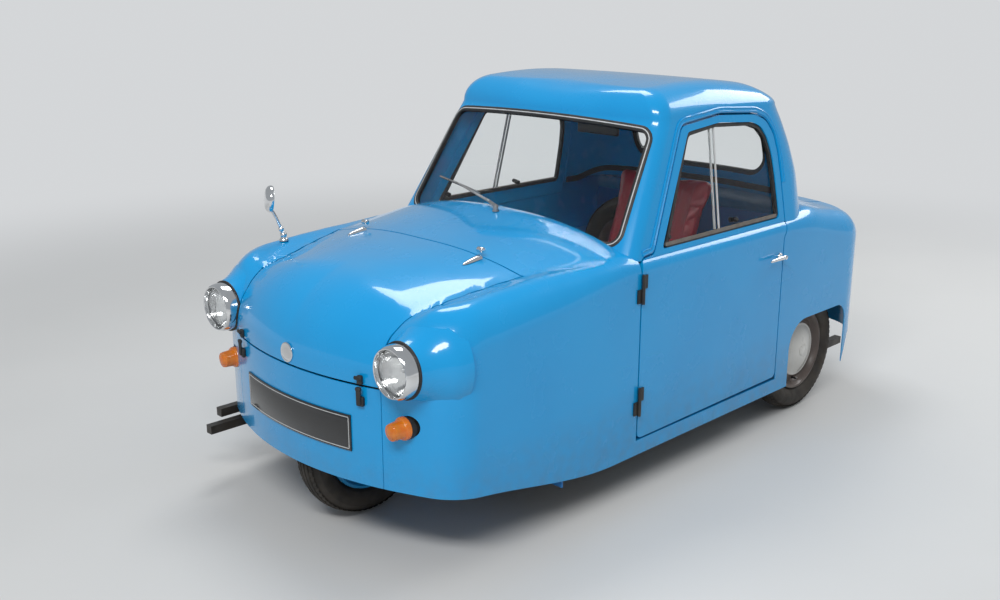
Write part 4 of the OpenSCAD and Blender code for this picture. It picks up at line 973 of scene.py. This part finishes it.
def number_plates():
    """Blank plates with a pale border. The front one follows the nose."""
    middle_z = PLATE_LOW_Z + PLATE_H / 2
    centre_y = NOSE_R - NOSE_Y

    def along_nose(half, z, steps=28):
        out = [Vector((x, -math.sqrt(NOSE_R ** 2 - x * x), 0)) / NOSE_R for x in np.linspace(-half, half, steps)]
        return [Vector((n.x * NOSE_R, centre_y + n.y * NOSE_R, z)) for n in out], out

    path, normals = along_nose(PLATE_W / 2, middle_z)
    half = PLATE_H / 2
    shapes = [swept(path, [(-half, 0.0005), (-half, 0.0045), (-half + 0.001, 0.0052), (half - 0.001, 0.0052),
                           (half, 0.0045), (half, 0.0005)], normals)]
    low, high = (-0.26, TAIL_Y + 0.0082, 0.318), (0.26, TAIL_Y + 0.0112, 0.43)
    shapes.append(rounded_box(low, high, 0.001, 1))
    shapes += [revolved([(0, 1.309), (0.012, 1.309), (0.012, 1.3195), (0, 1.3195)], (x, 0, 0.374), (0, 1, 0), 24)
               for x in (-0.09, 0.09)]
    made("blank_plates", shapes, "root", plate_black, ["number_plates"])
    border = []
    for z in (PLATE_LOW_Z + 0.007, PLATE_LOW_Z + PLATE_H - 0.007):
        path, normals = along_nose(PLATE_W / 2 - 0.007, z)
        border.append(swept(path, [(-0.0012, 0.0048), (-0.0012, 0.0058), (0.0012, 0.0058), (0.0012, 0.0048)], normals))
        rear_z = 0.325 if z < middle_z else 0.423
        border.append(rounded_box((-0.253, high[1] - 0.0004, rear_z - 0.0012),
                                  (0.253, high[1] + 0.0006, rear_z + 0.0012), 0.0002, 1))
    for x in SIDES:
        (a,), (n,) = [v[-1:] for v in along_nose(PLATE_W / 2 - 0.007, middle_z)]
        a, n = Vector((x * a.x, a.y, a.z)), Vector((x * n.x, n.y, n.z))
        reach = Vector((0, 0, half - 0.0082))
        border.append(swept([a - reach, a + reach], [(-0.0012, 0.0048), (-0.0012, 0.0058), (0.0012, 0.0058),
                                                     (0.0012, 0.0048)], [n, n]))
        border.append(rounded_box((x * 0.253 - 0.0012, high[1] - 0.0004, 0.325),
                                  (x * 0.253 + 0.0012, high[1] + 0.0006, 0.423), 0.0002, 1))
    made("plate_borders", border, "root", pale_trim)


HINGE_X, BONNET_AXIS = 0.292, (-0.772, 0.897)


def bonnet_trim():
    """Tear-drop hinges on the bonnet and a bare badge."""
    drops = []
    for side in SIDES:
        axis_y, axis_z = BONNET_AXIS
        drops.append(revolved([(0, -0.0125), (0.0075, -0.0125), (0.0085, -0.0115), (0.0085, 0.0115),
                               (0.0075, 0.0125), (0, 0.0125)], (side * HINGE_X, axis_y, axis_z), (1, 0, 0), 24))
        path, normals = [], []
        for k in np.linspace(0, 1, 14):
            y = axis_y - 0.004 - 0.074 * k
            path.append(Vector((side * HINGE_X, y, deck_z(HINGE_X, y) + 0.0006)))
            normals.append(Vector((0, -0.05, 1)))
        drop = [(-0.0125, 0), (-0.011, 0.0065), (-0.006, 0.0105), (0, 0.0118), (0.006, 0.0105), (0.011, 0.0065),
                (0.0125, 0)]
        drops.append(swept(path, drop, normals, scale=lambda k: 0.98 * math.sqrt(1 - 0.93 * k ** 1.6)))
    made("hinge_drops", drops, "bonnet", chrome, ["bonnet_hinges"], angle=50)
    point, normal = cast(body_tree, (0, -2, 0.617), (0, 1, 0))
    badge = [(0, 0.0006), (0.031, 0.0006), (0.031, 0.003), (0.029, 0.0045), (0.026, 0.0045), (0.0245, 0.0036),
             (0.012, 0.0048), (0, 0.0052)]
    made("badge_disc", [revolved(badge, point, normal, 64)], "bonnet", chrome)


def nose_fasteners():
    latch_x = 0.310
    turn = math.asin(latch_x / NOSE_R)
    spot = Matrix.Translation((latch_x, NOSE_R * (1 - math.cos(turn)) - NOSE_Y, 0)) @ Matrix.Rotation(turn, 4, "Z")
    latch = [rounded_box((-0.013, -0.013, 0.517), (0.013, -0.0006, 0.547), 0.004, 3, spot),
             rounded_box((-0.008, -0.0195, 0.524), (0.008, -0.011, 0.577), 0.0035, 3, spot),
             rounded_box((-0.0095, -0.021, 0.566), (0.0095, -0.009, 0.578), 0.004, 3, spot)]
    catch = [rounded_box((-0.009, -0.012, 0.5845), (0.009, -0.0006, 0.612), 0.0035, 3, spot),
             rounded_box((-0.014, -0.020, 0.600), (0.014, -0.0115, 0.612), 0.004, 3, spot)]
    made("latch_straps", latch, "root", black_rubber, ["nose_latches"], mirror=True)
    made("catch_hooks", catch, "bonnet", black_rubber, ["bonnet_catches"], mirror=True)


HANDLE_Y, HANDLE_Z = 0.500, 0.707


def door_handles():
    for side in SIDES:
        name = SIDE_NAME[side]
        out = (side, 0, 0)
        at = (side * HALF_W, HANDLE_Y, HANDLE_Z)
        shapes = [revolved([(0, 0.0004), (0.0142, 0.0004), (0.0142, 0.003), (0.012, 0.0065), (0, 0.0072)], at, out, 40),
                  revolved([(0, 0.005), (0.008, 0.005), (0.0066, 0.012), (0.0072, 0.024), (0.008, 0.031),
                            (0.005, 0.0332), (0, 0.0336)], at, out, 32)]
        path = [Vector((side * (HALF_W + 0.027 - 0.0022 * math.sin(math.pi * k)), HANDLE_Y + 0.014 - 0.116 * k,
                        HANDLE_Z)) for k in np.linspace(0, 1, 20)]
        shapes.append(swept(path, circle_profile(0.0085, 16, 0.6), [Vector(out)] * 20,
                            scale=lambda k: (1 - 0.42 * k) * min(1, 0.35 + 9 * k) * min(1, 0.3 + 11 * (1 - k))))
        made(f"handle_lever_{name}", shapes, f"door_{name}", chrome, [f"door_handle_{name}"])


WIPER_PIVOT = (0.028, -0.446)


def wiper():
    x, y = WIPER_PIVOT
    z = deck_z(x, y)
    hub = [revolved([(0, 0.001), (0.0125, 0.001), (0.0125, 0.004), (0.009, 0.007), (0.009, 0.018), (0.0075, 0.023),
                     (0, 0.0245)], (x, y, z), (0, 0, 1), 28)]

    def on_screen(px, pz, lift):
        point, normal = cast(cab_tree, (px, -2, pz), (0, 1, 0))
        return point + normal * (lift - GLASS_DEPTH)

    hinge = on_screen(-0.066, 0.939, 0.03)
    end = on_screen(-0.271, 0.976, 0.016)
    start = Vector((x, y, z + 0.019))
    up = Vector((0, -0.5, 0.86))
    arm = [start.lerp(hinge, k) for k in np.linspace(0, 1, 6)] + [hinge.lerp(end, k) for k in np.linspace(0.1, 1, 8)]
    hub.append(swept(arm, [(-0.006, -0.002), (-0.006, 0.002), (0.006, 0.002), (0.006, -0.002)], [up] * len(arm),
                     scale=lambda k: 1.15 - 0.65 * k))
    hub.append(ball(hinge, 0.0062))
    made("wiper_arm", hub, "root", steel, ["wiper"])
    along = np.linspace(-0.13, 0.13, 20)
    blade = [on_screen(-0.271 - a, 0.976 + 0.1 * a - 0.12 * a * a, 0.008) for a in along]
    spine = [on_screen(-0.271 - a, 0.976 + 0.1 * a - 0.12 * a * a, 0.0125) for a in along]
    made("wiper_spine", [swept(spine, circle_profile(0.0026, 8), [up] * 20)], "root", steel)
    made("wiper_blade", [swept(blade, [(-0.0028, 0.003), (0.0028, 0.003), (0.0007, -0.007), (-0.0007, -0.007)],
                               [up] * 20)], "root", black_rubber)


def mirrors():
    x, y = -0.497, -0.975
    base = Vector((x, y, deck_z(x, y)))
    shapes = [revolved([(0, 0.0006), (0.0165, 0.0006), (0.0165, 0.004), (0.013, 0.009), (0.0095, 0.014),
                        (0, 0.0145)], base, (0, 0, 1), 32),
              ball(base + Vector((0.001, -0.002, 0.022)), 0.0125), ball(base + Vector((0.001, -0.010, 0.044)), 0.0105)]
    stalk = [base + Vector(p) for p in ((0.001, -0.002, 0.02), (0.001, -0.010, 0.044), (-0.003, -0.024, 0.083),
                                        (-0.010, -0.040, 0.118), (-0.012, -0.046, 0.132))]
    shapes.append(tube(stalk, 0.0058))
    axis = Vector((-0.44, -0.89, 0.1)).normalized()
    middle = base + Vector((-0.008, -0.048, 0.154))
    head = [(0, 0.0145), (0.018, 0.0138), (0.034, 0.0105), (0.0435, 0.004), (0.0468, -0.003), (0.0468, -0.0095),
            (0.0445, -0.0135), (0.0425, -0.0135), (0.0425, -0.0112), (0, -0.0112)]
    shapes.append(revolved(head, middle, axis, 64))
    shapes.append(ball(middle - axis * 0.004 + Vector((-0.003, 0.001, -0.026)), 0.0125))
    made("wing_mirror", shapes, "root", chrome, ["mirrors"])
    inner = [rounded_box((0.06, -0.062, 1.178), (0.25, -0.046, 1.236), 0.008, 4)]
    inner.append(tube([(0.155, -0.05, 1.226), (0.155, -0.046, 1.27), (0.155, -0.036, 1.31), (0.155, -0.03, 1.337)],
                      0.0055))
    made("interior_mirror", inner, "root", black_paint)
    made("interior_mirror_glass", [rounded_box((0.066, -0.0462, 1.184), (0.244, -0.0445, 1.23), 0.0008, 1)], "root",
         chrome)


headlamps()
small_lamps()
number_plates()
bonnet_trim()
nose_fasteners()
door_handles()
wiper()
mirrors()


# ---- Wheels ----

TYRE_R, TYRE_W, RIM_R = 0.250, 0.100, 0.155
FRONT_AXLE_Y, REAR_AXLE_Y, REAR_TRACK_HALF = -1.035, 0.805, 0.495


def tyre_profile():
    """Half section from bead to crown, mirrored: a bulging wall, a shoulder rib and grooved tread."""
    grooves = (0.0085, 0.0235)
    half_tread, groove_w, groove_d = 0.0385, 0.0022, 0.0045
    crown = [(TYRE_R - 5.5 * w * w, w) for w in np.linspace(0, half_tread, 24)]
    tread = []
    for r, w in crown:
        depth = groove_d if any(abs(w - g) < groove_w for g in grooves) else 0
        tread.append((r - depth, w, depth == 0 and w > grooves[1]))
    wall = []
    for k in np.linspace(0, 1, 26)[1:]:
        a = math.radians(58 - 128 * k)
        r = 0.2055 + 0.0445 * math.sin(a)
        w = 0.0025 + 0.0475 * math.cos(a) if k < 0.72 else 0.0025 + 0.0475 * math.cos(a) + 0.006 * (k - 0.72)
        ridge = 0.0012 if abs(k - 0.3) < 0.03 or abs(k - 0.78) < 0.03 else 0
        wall.append((max(r, RIM_R + 0.0005), min(w + ridge, TYRE_W / 2 - 0.0002), False))
    half = tread + wall
    return [(r, -w, rib) for r, w, rib in half[::-1]] + half[1:]


TYRE_PROFILE = tyre_profile()
TREAD_SEGMENTS = 264


def tyre(centre, axis):
    flags = [rib for _, _, rib in TYRE_PROFILE]

    def radius_at(i, k, r):
        return r - 0.0038 if flags[i] and k % 4 == 0 else r

    return revolved([(r, w) for r, w, _ in TYRE_PROFILE], centre, axis, TREAD_SEGMENTS, closed=True,
                    radius_at=radius_at)


RIM_PROFILE = [(0.137, -0.037), (0.1545, -0.0395), (0.1625, -0.0385), (0.1642, -0.0355), (0.1548, -0.0345),
               (0.1535, -0.020), (0.143, -0.012), (0.143, 0.012), (0.1535, 0.020), (0.1548, 0.0345),
               (0.1642, 0.0355), (0.1625, 0.0385), (0.1545, 0.0395), (0.150, 0.036), (0.146, 0.022),
               (0.137, 0.012), (0.128, 0.013), (0.112, 0.020), (0.09, 0.024), (0.045, 0.024), (0.026, 0.020),
               (0.012, 0.020), (0.012, 0.013), (0.045, 0.0165), (0.09, 0.0165), (0.110, 0.0125), (0.126, 0.006),
               (0.133, 0.0)]


def cap_profile():
    """Domed hub cap with a rolled edge and a small boss."""
    line = [(0.1085, 0.0245), (0.1105, 0.0265), (0.1105, 0.0285), (0.108, 0.0302), (0.1045, 0.0298)]
    for r in np.linspace(0.1, 0.026, 16):
        line.append((r, 0.0300 + 0.0255 * (1 - (r / 0.105) ** 2)))
    line += [(0.0235, 0.0528), (0.0225, 0.0556), (0.019, 0.0572), (0.010, 0.0578), (0, 0.0579)]
    return line + [(0, 0.0247)]


def wheel(name, centre, axis, body, tyre_node, rim_node, capped):
    made(f"{name}_tread", [tyre(centre, axis)], body, tyre_rubber, [tyre_node], angle=28)
    paint, slot = (wheel_brown, "grey_wheel_paint") if capped else (blue_paint, "blue_paint")
    shapes = [revolved(RIM_PROFILE, centre, axis, 96, closed=True)]
    turn = toward(axis)
    nuts = []
    for k in range(5):
        a = 2 * math.pi * k / 5
        spot = Vector(centre) + turn @ Vector((0.036 * math.cos(a), 0.036 * math.sin(a), 0))
        nuts.append(revolved([(0, 0.02), (0.0095, 0.02), (0.0095, 0.031), (0.007, 0.034), (0, 0.0345)], spot, axis, 6))
    hub = [(0, -0.03), (0.026, -0.03), (0.026, 0.0215), (0.02, 0.024), (0, 0.025)] if capped else [
        (0, -0.038), (0.026, -0.038), (0.026, 0.033), (0.02, 0.038), (0, 0.0385)]
    shapes.append(revolved([(0.0093, hub[1][1])] + hub[1:4] + [(0.0093, hub[3][1])], centre, axis, 48, closed=True))
    made(f"{name}_rim_skin", shapes, body, paint, [rim_node])
    if capped:
        made(f"{name}_hub_cap", [revolved(cap_profile(), centre, axis, 96)], body, wheel_grey)
    else:
        made(f"{name}_nuts", nuts, body, steel)
    valve = Vector(centre) + turn @ Vector((0.1275, 0, 0))
    made(f"{name}_valve", [revolved([(0, 0.01), (0.0045, 0.01), (0.004, 0.03), (0.0026, 0.036), (0, 0.0362)], valve,
                                    axis, 14)], body, black_rubber)


wheel("front", (0, FRONT_AXLE_Y, TYRE_R), (1, 0, 0), "front_wheel", "front_tyre", "front_rim", False)
for side in SIDES:
    name = SIDE_NAME[side]
    wheel(f"rear_{name}", (side * REAR_TRACK_HALF, REAR_AXLE_Y, TYRE_R), (side, 0, 0), f"rear_wheel_{name}",
          f"rear_tyre_{name}", f"rear_rim_{name}", True)


# ---- Cabin ----

SEAT_X, SEAT_W = 0.095, 0.430
CUSHION_Z, CUSHION_T = 0.330, 0.120
SEAT_FRONT_Y, SEAT_REAR_Y = -0.240, 0.210
BACK_LEAN, BACK_T, BACK_H = math.radians(20), 0.090, 0.562
VOXEL = 0.006
SWELL_CAP = 0.024


def swollen(obj):
    """A stuffed piece: blown up a little by a cloth simulation, each point held to SWELL_CAP of its start."""
    remesh = obj.modifiers.new("remesh", "REMESH")
    remesh.mode, remesh.voxel_size = "VOXEL", VOXEL
    baked(obj)
    rest = np.array([v.co for v in obj.data.vertices])
    cloth = obj.modifiers.new("cloth", "CLOTH")
    cloth.settings.use_pressure = True
    cloth.settings.uniform_pressure_force = 4
    cloth.settings.effector_weights.gravity = 0
    for n in range(1, 21):
        bpy.context.scene.frame_set(n)
    baked(obj)
    bpy.context.scene.frame_set(1)
    now = np.array([v.co for v in obj.data.vertices])
    step = now - rest
    far = np.maximum(np.linalg.norm(step, axis=1)[:, None] / SWELL_CAP, 1)
    return rest + step / far


def upholstered(name, node, size, place, pleats, bolster, roll):
    """A pad with pleats along Y of its local frame on the +Z face, side bolsters and a rolled front edge.
    size is the CAD solid's; place puts its middle. The result is fitted back inside that size."""
    half = Vector(size) / 2
    points, faces = rounded_box(-half * 0.93, half * 0.93, min(half) * 0.55, 6)
    obj = new_object(name, points, faces)
    co = swollen(obj)
    span = np.maximum(np.abs(co).max(0), 1e-6)
    co = co / span * np.array(half) * np.array([0.995, 0.995, 0.96])
    x, y, z = co.T
    face = np.clip(z / half.z, 0, 1) ** 0.5
    inner = half.x - bolster
    across = np.clip(np.abs(x) / inner, 0, 1.4)
    flat_zone = np.clip((inner - np.abs(x)) / 0.012, 0, 1)
    groove = np.abs(np.cos(np.pi * (x / inner + 1) / 2 * pleats)) ** 5
    seam = np.exp(-((np.abs(x) - inner) / 0.0045) ** 2) * 0.007
    end = np.clip((half.y - np.abs(y)) / 0.03, 0, 1)
    dish = 0.013 * flat_zone * (1 - 0.25 * across)
    z = z - face * end * (dish + flat_zone * 0.0065 * (1 - groove ** 0.4) * 0 + seam)
    valley = np.abs(((x / inner + 1) / 2 * pleats) % 1 - 0.5) * 2
    z = z - face * end * flat_zone * 0.0062 * valley ** 6
    z = z - face * roll * np.exp(-((y + half.y * 0.35) / (half.y * 0.5)) ** 2) * 0.35
    co = np.stack([x, y, z], 1)
    obj.data.vertices.foreach_set("co", co.astype(np.float32).ravel())
    obj.data.update()
    sub = obj.modifiers.new("fine", "SUBSURF")
    sub.levels = sub.render_levels = 1
    baked(obj)
    obj.data.transform(place)
    placed(obj, name, "root", leather, [node], 60)


def piping(name, outline, place, r=0.0042):
    path = [place @ Vector(p) for p in outline]
    out = place.to_3x3() @ Vector((0, 0, 1))
    made(name, [swept(path, circle_profile(r, 8), [out] * len(path), closed=True)], "root", leather)


def seat():
    depth = SEAT_REAR_Y - 0.030 - SEAT_FRONT_Y
    cushion = Matrix.Translation((SEAT_X, SEAT_FRONT_Y + depth / 2, CUSHION_Z + CUSHION_T / 2))
    upholstered("seat_pad", "seat_cushion", (SEAT_W, depth, CUSHION_T), cushion, 6, 0.055, 0.02)
    height = BACK_H + 0.080
    hinge = Matrix.Translation((SEAT_X, SEAT_REAR_Y, CUSHION_Z + CUSHION_T)) @ Matrix.Rotation(-BACK_LEAN, 4, "X")
    # Local Z of the back points forward, local Y up the back
    back = hinge @ Matrix.Translation((0, BACK_T / 2, BACK_H - height / 2)) @ Matrix.Rotation(math.pi / 2, 4, "X")
    upholstered("seat_back_pad", "seat_back", (SEAT_W, height, BACK_T), back, 6, 0.055, 0.012)


def spare():
    low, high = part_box("spare_wheel")
    centre = (low + high) / 2
    made("spare_tread", [tyre(centre, (0, -1, 0))], "root", tyre_rubber, ["spare_wheel"], angle=28)
    made("spare_rim", [revolved(RIM_PROFILE, centre, (0, -1, 0), 96, closed=True)], "root", wheel_brown)


seat()
spare()


# ---- Pieces that keep their CAD shape ----

SOFT_EDGE = 0.0012


def eased_edges(node, width=SOFT_EDGE):
    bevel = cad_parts[node].modifiers.new("edges", "BEVEL")
    bevel.width, bevel.segments = width, 2
    bevel.limit_method, bevel.angle_limit = "ANGLE", math.radians(35)


def kept(material, *nodes):
    for node in nodes:
        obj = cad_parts[node]
        obj.data.materials.clear()
        obj.data.materials.append(material)


kept(black_paint, "chassis_frame", "carrier_irons", "front_fork", "seat_frame", "tiller", "door_hinges",
     "hinge_leaves_left", "hinge_leaves_right", "floor_pan")
kept(inner_blue, "dashboard", "bulkheads")
kept(dull_steel, "engine_block", "exhaust", "rear_axle")
kept(blue_paint, "lid_hinges")
for node in ("dashboard", "engine_block", "carrier_irons", "seat_frame"):
    eased_edges(node)


# ---- Floor, light and camera ----


BACKDROP = (0.66, 0.675, 0.69, 1)
FLOOR_FADE = (2.2, 6.5)     # the floor turns into the backdrop between these distances


def stage_floor():
    floor = new_object("floor", [(-20, -20, 0), (20, -20, 0), (20, 20, 0), (-20, 20, 0)], [(0, 1, 2, 3)])
    paint = finish_of("floor_paint", (0.62, 0.62, 0.61), (0.6, 0.6, 0.59), (0.8, 0.6), (0.6, 0.8), 2)
    tree = paint.node_tree
    nodes, link = tree.nodes, tree.links.new
    place, length = nodes.new("ShaderNodeNewGeometry"), nodes.new("ShaderNodeVectorMath")
    length.operation = "LENGTH"
    link(place.outputs["Position"], length.inputs[0])
    fade = nodes.new("ShaderNodeMapRange")
    fade.interpolation_type = "SMOOTHERSTEP"
    fade.inputs["From Min"].default_value, fade.inputs["From Max"].default_value = FLOOR_FADE
    link(length.outputs["Value"], fade.inputs["Value"])
    backdrop, mix = nodes.new("ShaderNodeEmission"), nodes.new("ShaderNodeMixShader")
    backdrop.inputs["Color"].default_value = BACKDROP
    surface = nodes["Material Output"].inputs["Surface"]
    painted = surface.links[0].from_socket
    link(fade.outputs["Result"], mix.inputs[0])
    link(painted, mix.inputs[1])
    link(backdrop.outputs[0], mix.inputs[2])
    link(mix.outputs[0], surface)
    floor.data.materials.append(paint)


def softbox(name, place, target, size, power):
    lamp = bpy.data.lights.new(name, "AREA")
    lamp.shape, lamp.size, lamp.size_y, lamp.energy = "RECTANGLE", size[0], size[1], power
    obj = bpy.data.objects.new(name, lamp)
    obj.location = place
    obj.rotation_euler = (Vector(target) - Vector(place)).to_track_quat("-Z", "Y").to_euler()
    bpy.context.scene.collection.objects.link(obj)


def lights():
    softbox("key_light", (2.6, -4.2, 4.6), (0, -0.2, 0.5), (3.4, 1.0), 215)
    softbox("top_light", (-1.8, 0.8, 5.6), (0, 0, 0.6), (2.4, 1.8), 100)
    softbox("rear_light", (1.5, 4.8, 3.6), (0, 0.4, 0.7), (3.0, 2.0), 110)
    world = bpy.data.worlds.new("studio")
    bpy.context.scene.world = world
    world.use_nodes = True
    tree = world.node_tree
    nodes, link = tree.nodes, tree.links.new
    nodes.clear()
    rays = nodes.new("ShaderNodeLightPath")
    seen = nodes.new("ShaderNodeMath")
    seen.operation = "MAXIMUM"
    link(rays.outputs["Is Camera Ray"], seen.inputs[0])
    link(rays.outputs["Is Transmission Ray"], seen.inputs[1])
    pale, fill = nodes.new("ShaderNodeBackground"), nodes.new("ShaderNodeBackground")
    pale.inputs["Color"].default_value = BACKDROP
    pale.inputs["Strength"].default_value = 1.0
    fill.inputs["Color"].default_value = (0.9, 0.95, 1.0, 1)
    fill.inputs["Strength"].default_value = 0.42
    mix, out = nodes.new("ShaderNodeMixShader"), nodes.new("ShaderNodeOutputWorld")
    link(seen.outputs[0], mix.inputs[0])
    link(fill.outputs[0], mix.inputs[1])
    link(pale.outputs[0], mix.inputs[2])
    link(mix.outputs[0], out.inputs["Surface"])
    bpy.context.scene.view_settings.view_transform = "Standard"


CAMERA_AT = (2.7763, -3.1523, 1.7250)
CAMERA_AZIMUTH, CAMERA_ELEVATION = math.radians(45.22), math.radians(16.10)
CAMERA_LENS, SENSOR_WIDTH = 40.45, 36.0


def camera():
    data = bpy.data.cameras.new("camera")
    data.sensor_width, data.lens = SENSOR_WIDTH, CAMERA_LENS
    data.clip_start, data.clip_end = 0.05, 100
    obj = bpy.data.objects.new("camera", data)
    bpy.context.scene.collection.objects.link(obj)
    back = Vector((math.sin(CAMERA_AZIMUTH) * math.cos(CAMERA_ELEVATION),
                   -math.cos(CAMERA_AZIMUTH) * math.cos(CAMERA_ELEVATION), math.sin(CAMERA_ELEVATION)))
    obj.location = CAMERA_AT
    obj.rotation_mode = "QUATERNION"
    obj.rotation_quaternion = (-back).to_track_quat("-Z", "Y")
    bpy.context.scene.camera = obj


stage_floor()
lights()
camera()
for spent in (body_outer, cab_outer, body_skin, body_thick, cab_skin):
    bpy.data.objects.remove(spent)
